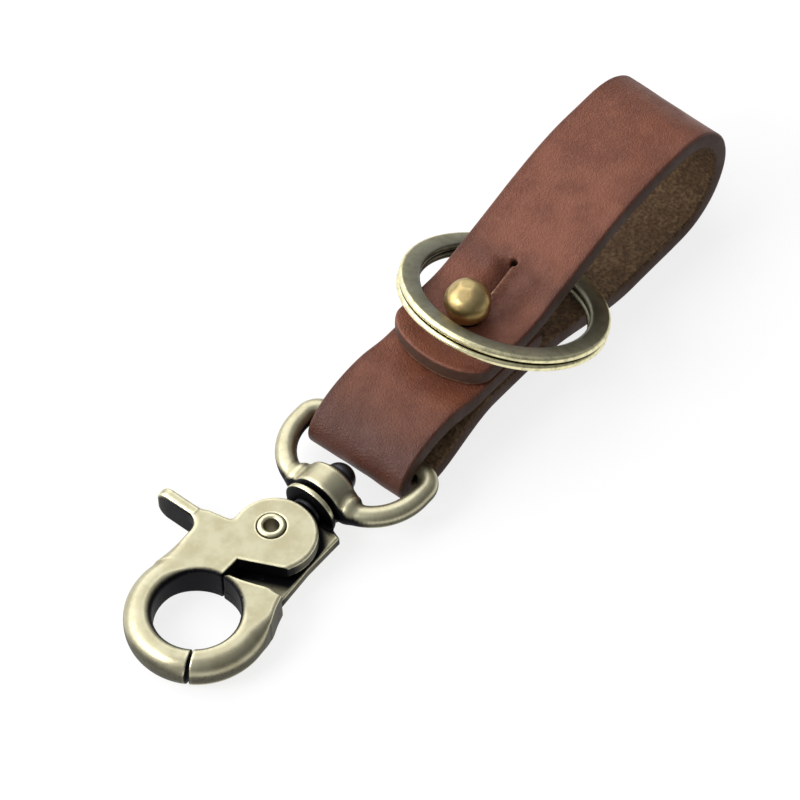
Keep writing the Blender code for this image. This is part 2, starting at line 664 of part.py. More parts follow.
def build_swivel_rivet(shop, swivel):
    """Make the pin through the collar, with its domed head on the strap's side."""
    collar_end = -COLLAR_LENGTH / 2 - CLEARANCE
    inner_low = FLANGE_END + CLEARANCE
    dome_start = collar_end - RIVET_WASHER_THICKNESS
    profile = [(0, inner_low + RIVET_INNER_HEAD_THICKNESS),
               (RIVET_INNER_HEAD_RADIUS, inner_low + RIVET_INNER_HEAD_THICKNESS),
               (RIVET_INNER_HEAD_RADIUS, inner_low),
               (RIVET_RADIUS, inner_low),
               (RIVET_RADIUS, collar_end),
               (RIVET_WASHER_RADIUS, collar_end),
               (RIVET_WASHER_RADIUS, dome_start)]
    for i in range(CURVE_STEPS + 1):
        angle = math.pi / 2 * i / CURVE_STEPS
        profile.append((RIVET_DOME_RADIUS * math.cos(angle),
                        dome_start - RIVET_DOME_HEIGHT * math.sin(angle)))
    profile[-1] = (0, dome_start - RIVET_DOME_HEIGHT)
    return shop.piece("swivel_rivet", turned(profile), swivel, shop.dark_steel, along_snap(0))


def hook_arc(radius, start, end):
    """Return an arc of the hook, as distances past the collar and sides."""
    return arc(COLLAR_TO_HOOK, HOOK_SIDE_OFFSET, radius, start, end)


def snap_outline(points):
    """Turn distances past the collar into X, which runs the other way."""
    return [(-along, side) for along, side in without_repeats(points)]


def gate_angle(radius):
    """Return the angle of the gate's slanting face at a distance from the hook's middle."""
    share = (radius - HOOK_HOLE_RADIUS) / (HOOK_RADIUS - HOOK_HOLE_RADIUS)
    return GATE_INNER_ANGLE + share * (GATE_OUTER_ANGLE - GATE_INNER_ANGLE)


def hook_ring():
    """Return the whole ring of the hook with rounded edges, before it is parted into two jaws."""
    edge = JAW_EDGE_ROUND
    high = HALF_SNAP - edge
    profile = []
    for radius, height, start in ((HOOK_RADIUS - edge, high, math.pi / 2),
                                  (HOOK_RADIUS - edge, -high, 0),
                                  (HOOK_HOLE_RADIUS + edge, -high, -math.pi / 2),
                                  (HOOK_HOLE_RADIUS + edge, high, -math.pi)):
        for i in range(JAW_ROUND_STEPS + 1):
            angle = start - math.pi / 2 * i / JAW_ROUND_STEPS
            profile.append((radius + edge * math.cos(angle), height + edge * math.sin(angle)))
    mesh = turned(profile, closed=True, steps=HOOK_STEPS)
    mesh.transform(Matrix.Translation((-COLLAR_TO_HOOK, HOOK_SIDE_OFFSET, 0)))
    return mesh


def jaw_region():
    """Return the part of the hook that belongs to the fixed jaw, cut along its strap side."""
    outer = HOOK_RADIUS + CUT_OVERRUN
    inner = HOOK_HOLE_RADIUS - CUT_OVERRUN
    back = GATE_GAP / HOOK_RADIUS
    side = PIVOT_SIDE_OFFSET
    points = hook_arc(inner, -math.pi + ARC_STEP, gate_angle(inner) - back)
    points += hook_arc(outer, gate_angle(outer) - back, -2 * math.pi / 3)
    points += [(COLLAR_TO_PIVOT + JAW_ROOT_OFFSET, side - JAW_HEEL_DROP),
               (COLLAR_TO_PIVOT + JAW_ROOT_OFFSET, side - JAW_ROOT_DROP),
               (COLLAR_TO_PIVOT + JAW_SHOULDER_OFFSET, side - JAW_SHOULDER_DROP),
               (COLLAR_TO_PIVOT + JAW_TIP_OFFSET, side - JAW_TIP_DROP)]
    return snap_outline(points)


def jaw_root_outline():
    """Return the heel that joins the fixed jaw to the back plate."""
    side = PIVOT_SIDE_OFFSET
    root = COLLAR_TO_PIVOT + JAW_ROOT_OFFSET
    edge = JAW_EDGE_ROUND
    points = [(root, side - JAW_ROOT_DROP), (root, side - JAW_HEEL_DROP)]
    points += hook_arc(HOOK_RADIUS - edge / 2, -2 * math.pi / 3, -2 * math.pi / 3)[:1]
    points += hook_arc(HOOK_HOLE_RADIUS + edge, -2 * math.pi / 3, -math.pi + 2 * ARC_STEP)
    points.append((root + edge / 2, side - JAW_SHOULDER_DROP - edge))
    return snap_outline(points)


def back_plate_outline():
    """Return the frame's back plate, from the flange to the root of the fixed jaw."""
    start = FLANGE_END - SNAP_FLANGE_ROUND
    side = BACK_PLATE_HALF_WIDTH
    round_end = arc(DISC_CENTRE, 0, side, math.pi / 2, math.atan2(NOTCH_RISE, side))
    heel = (COLLAR_TO_PIVOT + JAW_ROOT_OFFSET + JAW_EDGE_ROUND, PIVOT_SIDE_OFFSET - JAW_HEEL_DROP)
    tip = (COLLAR_TO_PIVOT + JAW_SHOULDER_OFFSET + JAW_EDGE_ROUND,
           PIVOT_SIDE_OFFSET - JAW_SHOULDER_DROP - JAW_EDGE_ROUND)
    points = [(start, SNAP_FLANGE_RADIUS - CUT_OVERRUN), (start + CUT_OVERRUN, side)]
    points += round_end + [tip, heel, (DISC_CENTRE, -side), (start + CUT_OVERRUN, -side),
                           (start, CUT_OVERRUN - SNAP_FLANGE_RADIUS)]
    return snap_outline(points)


def snap_pocket():
    """Return the radius of the pockets that hold the spring."""
    return SPRING_COIL_RADIUS + SPRING_WIRE_RADIUS + SPRING_POCKET_WALL + CLEARANCE


def build_snap_frame(shop, swivel, pivot):
    """Make the snap's fixed body: flange, back plate and fixed jaw in one casting."""
    frame = shop.piece("snap_frame", hook_ring(), swivel, shop.brass)
    reach = HALF_SNAP + CUT_OVERRUN
    region = shop.cutter("jaw_region", flat_plate(jaw_region(), -reach, reach, 0), swivel)
    boolean(frame, region, "INTERSECT")
    root = shop.cutter("jaw_root", flat_plate(
        jaw_root_outline(), JOIN_STEP - HALF_SNAP, HALF_SNAP - JOIN_STEP, JAW_ROOT_ROUND), swivel)
    boolean(frame, root, "UNION")
    plate = shop.cutter("back_plate", flat_plate(
        back_plate_outline(), -HALF_SNAP, BACK_PLATE_TOP, PLATE_EDGE_ROUND), swivel)
    half = SNAP_FLANGE_THICKNESS / 2
    edge = SNAP_FLANGE_ROUND
    profile = [(0, half), (SNAP_FLANGE_RADIUS - edge, half), (SNAP_FLANGE_RADIUS, half - edge),
               (SNAP_FLANGE_RADIUS, edge - half), (SNAP_FLANGE_RADIUS - edge, -half), (0, -half)]
    flange = shop.cutter("end_flange", turned(profile), swivel, along_snap(FLANGE_START + half))
    bore = shop.cutter("frame_bore", cylinder(
        RIVET_RADIUS + CLEARANCE, -SNAP_FLANGE_THICKNESS, SNAP_FLANGE_THICKNESS), swivel,
        along_snap(FLANGE_START + half))
    head_room = shop.cutter("inner_head_room", cylinder(
        RIVET_INNER_HEAD_RADIUS + CLEARANCE, 0, RIVET_INNER_HEAD_THICKNESS + 2 * CLEARANCE), swivel,
        along_snap(FLANGE_END))
    boolean(frame, plate, "UNION")
    boolean(frame, flange, "UNION")
    pocket_low = BACK_PLATE_TOP - (SPRING_HEIGHT - LEVER_UNDER + BACK_PLATE_TOP) / 2 - CLEARANCE
    pocket = shop.cutter("frame_pocket", cylinder(snap_pocket(), pocket_low, HALF_SNAP), pivot)
    eyelet_hole = shop.cutter("frame_eyelet_hole", cylinder(
        EYELET_RADIUS + CLEARANCE, -HALF_SNAP - CUT_OVERRUN, HALF_SNAP), pivot)
    head_seat = shop.cutter("frame_head_seat", cylinder(
        EYELET_HEAD_RADIUS + CLEARANCE, -HALF_SNAP - CUT_OVERRUN,
        -HALF_SNAP + EYELET_HEAD_THICKNESS - EYELET_HEAD_PROUD + CLEARANCE), pivot)
    for tool in (bore, head_room, pocket, eyelet_hole, head_seat):
        boolean(frame, tool, "DIFFERENCE")
    return frame


def from_pivot(points):
    """Measure snap points from the trigger's pivot, with X running away from the hook."""
    return [(-(along - COLLAR_TO_PIVOT), side - PIVOT_SIDE_OFFSET)
            for along, side in without_repeats(points)]


def arch_region():
    """Return the part of the hook that belongs to the moving jaw."""
    outer = HOOK_RADIUS + CUT_OVERRUN
    inner = HOOK_HOLE_RADIUS - CUT_OVERRUN
    root = COLLAR_TO_PIVOT + ARCH_ROOT_OFFSET
    notch = PIVOT_SIDE_OFFSET + NOTCH_RISE
    points = hook_arc(outer, gate_angle(outer), math.pi - 2 * ARC_STEP)
    points += [(root, notch), (COLLAR_TO_HOOK - inner, notch)]
    points += hook_arc(inner, math.pi - ARC_STEP, gate_angle(inner))
    return from_pivot(points)


def arch_root_outline():
    """Return the thick block that joins the moving jaw to the lever's plate."""
    root = COLLAR_TO_PIVOT + ARCH_ROOT_OFFSET
    notch = PIVOT_SIDE_OFFSET + NOTCH_RISE
    top = PIVOT_SIDE_OFFSET + TAB_ROOT_RISE
    edge = JAW_EDGE_ROUND
    points = [(root, notch), (root, top), (root + edge, top + edge / 4)]
    points += hook_arc(HOOK_RADIUS - edge / 4, math.pi / 2 + 2 * ARC_STEP, math.pi / 2)[:1]
    points += hook_arc(HOOK_HOLE_RADIUS + edge / 2, math.pi / 2 + 2 * ARC_STEP, math.pi - 2 * ARC_STEP)
    points.append((COLLAR_TO_HOOK - HOOK_HOLE_RADIUS - edge / 4, notch))
    return from_pivot(points)


def lever_outline():
    """Return the lever's plate: the disc round the pivot and the web to the moving jaw."""
    root = COLLAR_TO_PIVOT + ARCH_ROOT_OFFSET + JAW_EDGE_ROUND
    tab_near = COLLAR_TO_PIVOT + TAB_OFFSET
    tab_far = tab_near + TAB_THICKNESS
    top = PIVOT_SIDE_OFFSET + TAB_ROOT_RISE - JOIN_STEP
    notch = (COLLAR_TO_PIVOT + NOTCH_OFFSET, PIVOT_SIDE_OFFSET + NOTCH_RISE + JOIN_STEP)
    fillet = TAB_OFFSET * TAB_FILLET_SHARE
    disc = arc(DISC_CENTRE, 0, LEVER_DISC_RADIUS, math.radians(80), math.radians(305))
    points = [(root, notch[1]), (root, top), (tab_far, top), (tab_near, top - fillet)]
    points += arc(tab_near - fillet, top - fillet, fillet, 0, -math.pi / 3)
    points += disc + [notch]
    return from_pivot(points)


def tab_mesh():
    """Return the thumb tab, an upright plate with rounded outer corners."""
    start = TAB_ROOT_RISE - TAB_OFFSET * TAB_FILLET_SHARE
    corner = TAB_CORNER_RADIUS
    low, high = JOIN_STEP - HALF_SNAP, HALF_SNAP - JOIN_STEP
    outline = [(start, LEVER_UNDER + JOIN_STEP), (TAB_ROOT_RISE, LEVER_UNDER + JOIN_STEP),
               (TAB_ROOT_RISE, low)]
    outline += arc(TAB_TOP_RISE - corner, low + corner, corner, -math.pi / 2, 0)
    outline += arc(TAB_TOP_RISE - corner, high - corner, corner, 0, math.pi / 2)
    outline.append((start, high))
    mesh = flat_plate(without_repeats(outline), -TAB_THICKNESS / 2, TAB_THICKNESS / 2, TAB_EDGE_ROUND)
    upright = Matrix(((0, 0, 1, 0), (1, 0, 0, 0), (0, 1, 0, 0), (0, 0, 0, 1)))
    mesh.transform(Matrix.Translation((-TAB_OFFSET - TAB_THICKNESS / 2, 0, 0)) @ upright)
    return mesh


def build_trigger(shop, pivot):
    """Make the trigger: disc, web, thumb tab and moving jaw in one casting."""
    ring = hook_ring()
    ring.transform(Matrix.Translation((COLLAR_TO_PIVOT, -PIVOT_SIDE_OFFSET, 0)))
    lever = shop.piece("trigger_lever", ring, pivot, shop.brass)
    reach = HALF_SNAP + CUT_OVERRUN
    region = shop.cutter("arch_region", flat_plate(arch_region(), -reach, reach, 0), pivot)
    boolean(lever, region, "INTERSECT")
    root = shop.cutter("arch_root", flat_plate(
        arch_root_outline(), JOIN_STEP - HALF_SNAP, HALF_SNAP - JOIN_STEP, JAW_ROOT_ROUND), pivot)
    boolean(lever, root, "UNION")
    plate = shop.cutter("lever_plate", flat_plate(
        lever_outline(), LEVER_UNDER, HALF_SNAP, PLATE_EDGE_ROUND), pivot)
    tab = shop.cutter("thumb_tab", tab_mesh(), pivot)
    boolean(lever, plate, "UNION")
    boolean(lever, tab, "UNION")
    pocket_high = LEVER_UNDER + (SPRING_HEIGHT - LEVER_UNDER + BACK_PLATE_TOP) / 2 + CLEARANCE
    pocket = shop.cutter("lever_pocket", cylinder(
        snap_pocket(), LEVER_UNDER - CUT_OVERRUN, pocket_high), pivot)
    hole = shop.cutter("lever_eyelet_hole", cylinder(
        EYELET_RADIUS + CLEARANCE, LEVER_UNDER - CUT_OVERRUN, HALF_SNAP + CUT_OVERRUN), pivot)
    seat = shop.cutter("lever_head_seat", cylinder(
        EYELET_HEAD_RADIUS + CLEARANCE,
        HALF_SNAP + EYELET_HEAD_PROUD - EYELET_HEAD_THICKNESS - CLEARANCE,
        HALF_SNAP + CUT_OVERRUN), pivot)
    for tool in (pocket, hole, seat):
        boolean(lever, tool, "DIFFERENCE")
    return lever


def build_eyelet(shop, pivot):
    """Make the hollow rivet that the trigger turns on."""
    top = HALF_SNAP + EYELET_HEAD_PROUD
    head_low = top - EYELET_HEAD_THICKNESS
    edge = (EYELET_HEAD_RADIUS - EYELET_RADIUS) / 2
    upper = [(EYELET_BORE_RADIUS, top - edge), (EYELET_BORE_RADIUS + edge, top),
             (EYELET_HEAD_RADIUS - edge, top), (EYELET_HEAD_RADIUS, top - edge),
             (EYELET_HEAD_RADIUS, head_low), (EYELET_RADIUS, head_low)]
    profile = upper + [(r, -z) for r, z in reversed(upper)]
    return shop.piece("pivot_eyelet", turned(profile, closed=True), pivot, shop.brass)


def spring_points():
    """Return the spring's centre line, a helix half in the frame's pocket and half in the lever's."""
    count = round(SPRING_TURNS * SPRING_POINTS_PER_TURN)
    low = -SPRING_TURNS * SPRING_PITCH / 2
    middle = (LEVER_UNDER + BACK_PLATE_TOP) / 2
    points = []
    for i in range(count + 1):
        angle = 2 * math.pi * i / SPRING_POINTS_PER_TURN
        height = middle + low + SPRING_PITCH * i / SPRING_POINTS_PER_TURN
        points.append(Vector((SPRING_COIL_RADIUS * math.cos(angle),
                              SPRING_COIL_RADIUS * math.sin(angle), height)))
    return points


def least_self_gap(points, radius, skip):
    """Return the least air between parts of a tube that are more than skip points apart."""
    gaps = [(a - b).length for i, a in enumerate(points) for b in points[i + skip:]]
    return min(gaps) - 2 * radius


def build_spring(shop, pivot):
    """Make the torsion spring hidden between the frame and the lever."""
    points = spring_points()
    gap = least_self_gap(points, SPRING_WIRE_RADIUS, SPRING_POINTS_PER_TURN // 2)
    print(f"spring: least gap between turns {gap / MM:.2f} mm")
    mesh = wire(points, SPRING_WIRE_RADIUS, resolution=1)
    return shop.piece("trigger_spring", mesh, pivot, shop.spring_steel)


def main():
    """Build the keychain."""
    clear_scene()
    shop = Shop()
    layout = shop.empty("stud_on_ground", None, (-MIDDLE_X, -MIDDLE_Y, 0))
    build_strap(shop, layout)
    build_stud(shop, layout)
    build_stud_screw(shop, layout)
    tongue_hinge = shop.empty("tongue_hinge", layout, (HINGE_X, 0, LOOP_TOP))
    build_tongue(shop, tongue_hinge)
    ring_tilt, far_edge = ring_rest()
    ring_hinge = shop.empty("ring_hinge", layout, far_edge, (0, ring_tilt, 0))
    build_ring(shop, ring_hinge)
    eye_hinge = shop.empty("eye_hinge", layout, (BAR_X, 0, FOLD_RADIUS), (0, -SNAP_PITCH, 0))
    build_eye(shop, eye_hinge)
    swivel = shop.empty("swivel_axis", eye_hinge, (-BAR_TO_COLLAR, 0, 0))
    build_swivel_rivet(shop, swivel)
    pivot = shop.empty("trigger_pivot", swivel, (-COLLAR_TO_PIVOT, PIVOT_SIDE_OFFSET, 0))
    build_snap_frame(shop, swivel, pivot)
    build_trigger(shop, pivot)
    build_eyelet(shop, pivot)
    build_spring(shop, pivot)
    bpy.context.view_layer.update()


main()
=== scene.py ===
"""Leather keychain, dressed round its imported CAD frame.

A folded strap with a button stud, a split ring on its tongue, and a swivel trigger snap. Sizes in
the classes are millimetres; meshes are made in metres in the frame's own axes. Places come from
the frame's joints and boxes, so each piece sits where its CAD node is.
"""

import itertools
import json
import logging
import math
from dataclasses import dataclass, field
from enum import Enum
from typing import Callable

import bpy
import numpy as np
from mathutils import Matrix, Vector


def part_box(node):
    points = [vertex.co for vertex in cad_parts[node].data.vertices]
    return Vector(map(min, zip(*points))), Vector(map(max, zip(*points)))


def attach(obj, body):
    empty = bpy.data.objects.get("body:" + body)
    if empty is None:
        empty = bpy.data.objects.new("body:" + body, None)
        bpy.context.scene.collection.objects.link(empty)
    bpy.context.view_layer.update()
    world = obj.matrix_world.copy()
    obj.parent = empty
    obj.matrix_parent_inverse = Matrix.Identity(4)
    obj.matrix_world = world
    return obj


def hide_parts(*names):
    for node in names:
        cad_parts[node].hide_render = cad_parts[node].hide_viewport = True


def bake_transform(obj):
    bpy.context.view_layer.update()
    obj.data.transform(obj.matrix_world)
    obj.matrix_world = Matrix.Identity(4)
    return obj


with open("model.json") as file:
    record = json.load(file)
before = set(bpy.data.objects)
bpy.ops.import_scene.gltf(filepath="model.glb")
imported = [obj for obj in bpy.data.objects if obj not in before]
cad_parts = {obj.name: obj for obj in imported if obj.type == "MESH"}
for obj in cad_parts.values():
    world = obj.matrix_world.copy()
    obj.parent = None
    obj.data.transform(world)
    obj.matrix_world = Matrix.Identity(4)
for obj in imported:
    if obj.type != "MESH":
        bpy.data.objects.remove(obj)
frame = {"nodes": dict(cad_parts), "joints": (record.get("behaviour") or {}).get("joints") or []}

MM = 0.001
SMOOTH_ANGLE = math.radians(50)
PICTURE_PIXELS = 800
SENSOR_MM = 36.0
BALL_HEIGHT = 19.52
CREST_REACH = 0.3
CREST_GAIN = 0.5
SHADE_REACHES = ((0.7, 0.4), (1.6, 0.28), (3.2, 0.2), (9.0, 0.3))
SHADE_GAIN = 1.7
# How dark the painted shade on upright and hook-facing faces is.
UPRIGHT_SHADE = 0.62
Array = np.ndarray
Field = Callable[[Array, Array, Array], Array]
log = logging.getLogger("leather_keychain")
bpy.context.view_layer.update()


# Meshes

def outward(points: Array, faces: list[Array]) -> list[Array]:
    """Turn a closed shell's faces outwards.

    The signed volume is the sum over triangles of a . (b x c) / 6; below nought, the shell is
    inside out.

    Args:
        points: vertex places, (n, 3).
        faces: arrays of vertex indices, one row a face.

    Returns:
        The faces, all turned round where the volume is negative.
    """
    volume = 0.0
    for corners in faces:
        first = points[corners[:, 0]]
        for k in range(1, corners.shape[1] - 1):
            turn = np.cross(points[corners[:, k]], points[corners[:, k + 1]])
            volume += float((first * turn).sum())
    return faces if volume > 0 else [corners[:, ::-1] for corners in faces]


def mesh_piece(name: str, points: Array, faces: list[Array],
               attributes: dict[str, Array] | None = None,
               material: bpy.types.Material | None = None) -> bpy.types.Object:
    """Make a smooth-shaded mesh object.

    Args:
        name: the piece's name.
        points: vertex places in millimetres, (n, 3).
        faces: arrays of vertex indices, one row a face.
        attributes: named values on the vertices, (n,) or (n, 3).
        material: what the piece is made of.

    Returns:
        The new object, at the origin, with its place in its mesh.
    """
    used, flat = np.unique(np.concatenate([f.ravel() for f in faces]), return_inverse=True)
    sizes = np.concatenate([np.full(len(f), f.shape[1]) for f in faces])
    mesh = bpy.data.meshes.new(name)
    mesh.vertices.add(len(used))
    mesh.vertices.foreach_set("co", (points[used] * MM).astype(np.float32).ravel())
    mesh.loops.add(len(flat))
    mesh.loops.foreach_set("vertex_index", flat.astype(np.int32).ravel())
    mesh.polygons.add(len(sizes))
    starts = np.concatenate([[0], np.cumsum(sizes)[:-1]])
    mesh.polygons.foreach_set("loop_start", starts.astype(np.int32))
    mesh.polygons.foreach_set("use_smooth", np.ones(len(sizes), bool))
    mesh.update(calc_edges=True)
    for label, values in (attributes or {}).items():
        kind, socket = ("FLOAT", "value") if values.ndim == 1 else ("FLOAT_VECTOR", "vector")
        layer = mesh.attributes.new(label, kind, "POINT")
        layer.data.foreach_set(socket, values[used].astype(np.float32).ravel())
    mesh.validate()
    mesh.set_sharp_from_angle(angle=SMOOTH_ANGLE)
    if material is not None:
        mesh.materials.append(material)
    piece = bpy.data.objects.new(name, mesh)
    bpy.context.scene.collection.objects.link(piece)
    return piece


def grid_faces(rows: int, columns: int, wrap_rows: bool = False,
               wrap_columns: bool = False) -> Array:
    """Return the quads between neighbouring points of a grid, wrapped round where asked.

    Point (i, j) of the grid has the number i * columns + j.

    Args:
        rows: points down the grid.
        columns: points across it.
        wrap_rows: whether the last row meets the first.
        wrap_columns: whether the last column meets the first.

    Returns:
        Quads of vertex numbers, (n, 4).
    """
    i = np.arange(rows if wrap_rows else rows - 1)[:, None]
    j = np.arange(columns if wrap_columns else columns - 1)[None, :]
    below, right = (i + 1) % rows, (j + 1) % columns
    quads = np.stack(np.broadcast_arrays(i * columns + j, i * columns + right,
                                         below * columns + right, below * columns + j), -1)
    return quads.reshape(-1, 4)


def swept(path: Array, side: Array, up: Array, section: Array) -> tuple[Array, list[Array]]:
    """Carry a section along an open path.

    A point of the surface is path + across * side + rise * up, for each (across, rise) of the
    section.

    Args:
        path: middle line, (n, 3).
        side: unit vector across the section at each point, (n, 3).
        up: unit vector up the section at each point, (n, 3).
        section: (m, 2), or (n, m, 2) where it changes along the path.

    Returns:
        Points and faces, the ends capped.
    """
    section = np.broadcast_to(section, (len(path), *section.shape[-2:]))
    points = (path[:, None] + section[..., :1] * side[:, None] + section[..., 1:] * up[:, None])
    rows, columns = points.shape[:2]
    first = np.arange(columns)[None, ::-1]
    faces = [grid_faces(rows, columns, wrap_columns=True), first,
             first[:, ::-1] + (rows - 1) * columns]
    points = points.reshape(-1, 3)
    return points, outward(points, faces)


def turned(profile: Array, steps: int, closed: bool = False) -> tuple[Array, list[Array]]:
    """Turn a profile of (radius, height) round Z.

    A point is (r cos a, r sin a, h). Points of the profile on the axis become one pole each.

    Args:
        profile: (m, 2), from one pole to the other, or round a closed section.
        steps: how many steps make the full turn.
        closed: whether the profile closes on itself, as a washer's does.

    Returns:
        Points and faces of the closed shell.
    """
    angles = np.arange(steps) * 2 * np.pi / steps
    radius = profile[:, :1]
    points = np.stack(np.broadcast_arrays(radius * np.cos(angles), radius * np.sin(angles),
                                          profile[:, 1:]), -1)
    rows = len(profile)
    if closed:
        faces = [grid_faces(rows, steps, wrap_rows=True, wrap_columns=True)]
    else:
        quads = grid_faces(rows, steps, wrap_columns=True)
        top, bottom = quads[:steps], quads[-steps:]
        first, last = top[:, 2:], bottom[:, :2]
        tips = np.stack([np.full(steps, 0), first[:, 0], first[:, 1]], -1)
        tails = np.stack([last[:, 0], last[:, 1], np.full(steps, (rows - 1) * steps)], -1)
        faces = [quads[steps:-steps], tips, tails]
    points = points.reshape(-1, 3)
    return points, outward(points, faces)


def rounded_section(wide: float, tall: float, edge: float, steps: int = 7) -> Array:
    """Return a rectangle's outline about its middle with quarter-round corners.

    A corner's points are edge * (cos a, sin a) from the inner rectangle's corner.

    Args:
        wide: width.
        tall: height.
        edge: radius of the corners.
        steps: steps in each corner.

    Returns:
        The outline, (4 * steps + 4, 2).
    """
    angle = np.linspace(0, np.pi / 2, steps + 1)
    corner = np.stack([np.cos(angle), np.sin(angle)], -1) * edge
    signs = ((1, 1), (-1, 1), (-1, -1), (1, -1))
    inner = np.array([wide / 2 - edge, tall / 2 - edge])
    parts = []
    for k, sign in enumerate(signs):
        part = corner * sign + inner * sign
        parts.append(part if k % 2 == 0 else part[::-1])
    return np.concatenate(parts)


def eased(start: tuple[float, float], start_slope: float, end: tuple[float, float],
          end_slope: float, count: int = 60) -> Array:
    """Return points of the cubic between two points that has the given slopes dz/dx at them.

    The height is h00 z0 + h10 run s0 + h01 z1 + h11 run s1, with the Hermite cubics of t.

    Args:
        start: x and z of the first point.
        start_slope: slope there.
        end: x and z of the last point.
        end_slope: slope there.
        count: number of points.

    Returns:
        The points, (count, 2).
    """
    t = np.linspace(0, 1, count)
    run = end[0] - start[0]
    height = ((2 * t**3 - 3 * t**2 + 1) * start[1] + (t**3 - 2 * t**2 + t) * run * start_slope
              + (3 * t**2 - 2 * t**3) * end[1] + (t**3 - t**2) * run * end_slope)
    return np.stack([start[0] + run * t, height], -1)


def arc(x: float, y: float, radius: float, start: float, end: float, count: int = 40) -> Array:
    """Return points of an arc in the plane; the angles are in degrees."""
    angle = np.radians(np.linspace(start, end, count))
    return np.stack([x + radius * np.cos(angle), y + radius * np.sin(angle)], -1)


def ripple(x: Array, y: Array, seed: int, scale: float, count: int = 7) -> Array:
    """Return smooth unevenness in about -1..1: a sum of sine waves in seeded directions.

    Args:
        x: places along.
        y: places across.
        seed: seed of the directions and phases.
        scale: middle wavelength.
        count: number of waves.

    Returns:
        The unevenness at each place.
    """
    rng = np.random.default_rng(seed)
    total = np.zeros(np.broadcast(x, y).shape)
    for angle, phase, stretch in zip(rng.uniform(0, np.pi, count), rng.uniform(0, 6.28, count),
                                     rng.uniform(0.6, 1.6, count)):
        along = x * math.cos(angle) + y * math.sin(angle)
        total += np.sin(2 * np.pi * along / (scale * stretch) + phase)
    return total / math.sqrt(count * 2)


# Solids given as signed distances, for the castings

def smooth_step(value: Array, low: float, high: float) -> Array:
    """Return 0 below low, 1 above high, and a cubic between them."""
    t = np.clip((value - low) / (high - low), 0, 1)
    return t * t * (3 - 2 * t)


def sides_distance(outline: Array) -> Callable[[Array, Array], Array]:
    """Return the signed distance to an outline in the plane.

    The distance is the least over the sides to the nearest point of the side; it is negative
    where a line to the right crosses an odd number of sides.

    Args:
        outline: corners of a closed outline, (n, 2).

    Returns:
        A function of x and y that gives the signed distance.
    """
    def distance(x: Array, y: Array) -> Array:
        """Return the distance at places in the plane.

        Args:
            x, y: places, of shapes that broadcast.

        Returns:
            The distance at each place.
        """
        x, y = np.broadcast_arrays(x, y)
        nearest = np.full(x.shape, np.inf)
        inside = np.zeros(x.shape, bool)
        for (ax, ay), (bx, by) in zip(outline, np.roll(outline, -1, 0)):
            ex, ey = bx - ax, by - ay
            length = ex * ex + ey * ey
            if length < 1e-12:
                continue
            share = np.clip(((x - ax) * ex + (y - ay) * ey) / length, 0, 1)
            nearest = np.minimum(nearest, (x - ax - share * ex) ** 2 + (y - ay - share * ey) ** 2)
            if ay != by:
                inside ^= ((ay > y) != (by > y)) & (x < ex * (y - ay) / ey + ax)
        return np.where(inside, -1.0, 1.0) * np.sqrt(nearest)
    return distance


def rounded_both(flat: Array, tall: Array, edge: float | Array) -> Array:
    """Meet two distances at a rounded edge: the longer one inside, their hypotenuse outside.

    Args:
        flat: distance to the sides.
        tall: distance to the ends.
        edge: radius of the edge between them.

    Returns:
        The signed distance.
    """
    flat, tall = flat + edge, tall + edge
    outside = np.hypot(np.maximum(flat, 0), np.maximum(tall, 0))
    return np.minimum(np.maximum(flat, tall), 0) + outside - edge


def plate(outline: Array, low: float, high: float, edge: float) -> Field:
    """Return a plate in XY between two heights, its edges rounded.

    Args:
        outline: corners of the outline, (n, 2).
        low: lower height.
        high: upper height.
        edge: radius of the edges.

    Returns:
        The signed distance.
    """
    sides = sides_distance(outline)
    middle, half = (low + high) / 2, (high - low) / 2
    return lambda x, y, z: rounded_both(sides(x, y), np.abs(z - middle) - half, edge)


def prism(outline: Array) -> Field:
    """Return an endless prism along Z over an outline in XY."""
    sides = sides_distance(outline)
    return lambda x, y, z: sides(x, y) + 0 * z


def slab(outer: Field, low: float, high: float, edge: Callable[[Array], Array]) -> Field:
    """Return a prism's part between two heights, with an edge radius that changes along X."""
    middle, half = (low + high) / 2, (high - low) / 2
    return lambda x, y, z: rounded_both(outer(x, y, 0 * z), np.abs(z - middle) - half, edge(x))


def rod(axis: int, place: tuple[float, float, float], radius: float, half: float,
        edge: float) -> Field:
    """Return a round bar along one axis: radius across it, half its length along it.

    Args:
        axis: the axis it runs along, 0 to 2.
        place: its middle.
        radius: its radius.
        half: half its length.
        edge: radius of the edges at its ends.

    Returns:
        The signed distance.
    """
    def distance(x: Array, y: Array, z: Array) -> Array:
        """Return the distance to the bar.

        Args:
            x, y, z: places, of shapes that broadcast.

        Returns:
            The distance at each place.
        """
        shifted = [value - start for value, start in zip((x, y, z), place)]
        along = shifted.pop(axis)
        return rounded_both(np.hypot(*shifted) - radius, np.abs(along) - half, edge)
    return distance


def wire_loop(line: Array, radius: float) -> Field:
    """Return a round wire along a closed line in the plane z = 0."""
    sides = sides_distance(line)
    return lambda x, y, z: np.hypot(sides(x, y), z) - radius


def joined(first: Field, second: Field, fillet: float) -> Field:
    """Join two solids: the lesser distance, less h * h / (4 * fillet) where the two are close.

    Args:
        first: one solid.
        second: the other.
        fillet: how close the two are where the fillet starts.

    Returns:
        The signed distance.
    """
    def distance(x: Array, y: Array, z: Array) -> Array:
        """Return the distance to the two together.

        Args:
            x, y, z: places, of shapes that broadcast.

        Returns:
            The distance at each place.
        """
        a, b = first(x, y, z), second(x, y, z)
        close = np.maximum(fillet - np.abs(a - b), 0)
        return np.minimum(a, b) - close * close / (4 * fillet)
    return distance


def without(first: Field, second: Field, edge: float) -> Field:
    """Cut the second solid from the first and break the edge that is left."""
    return common(first, lambda x, y, z: -second(x, y, z), edge)


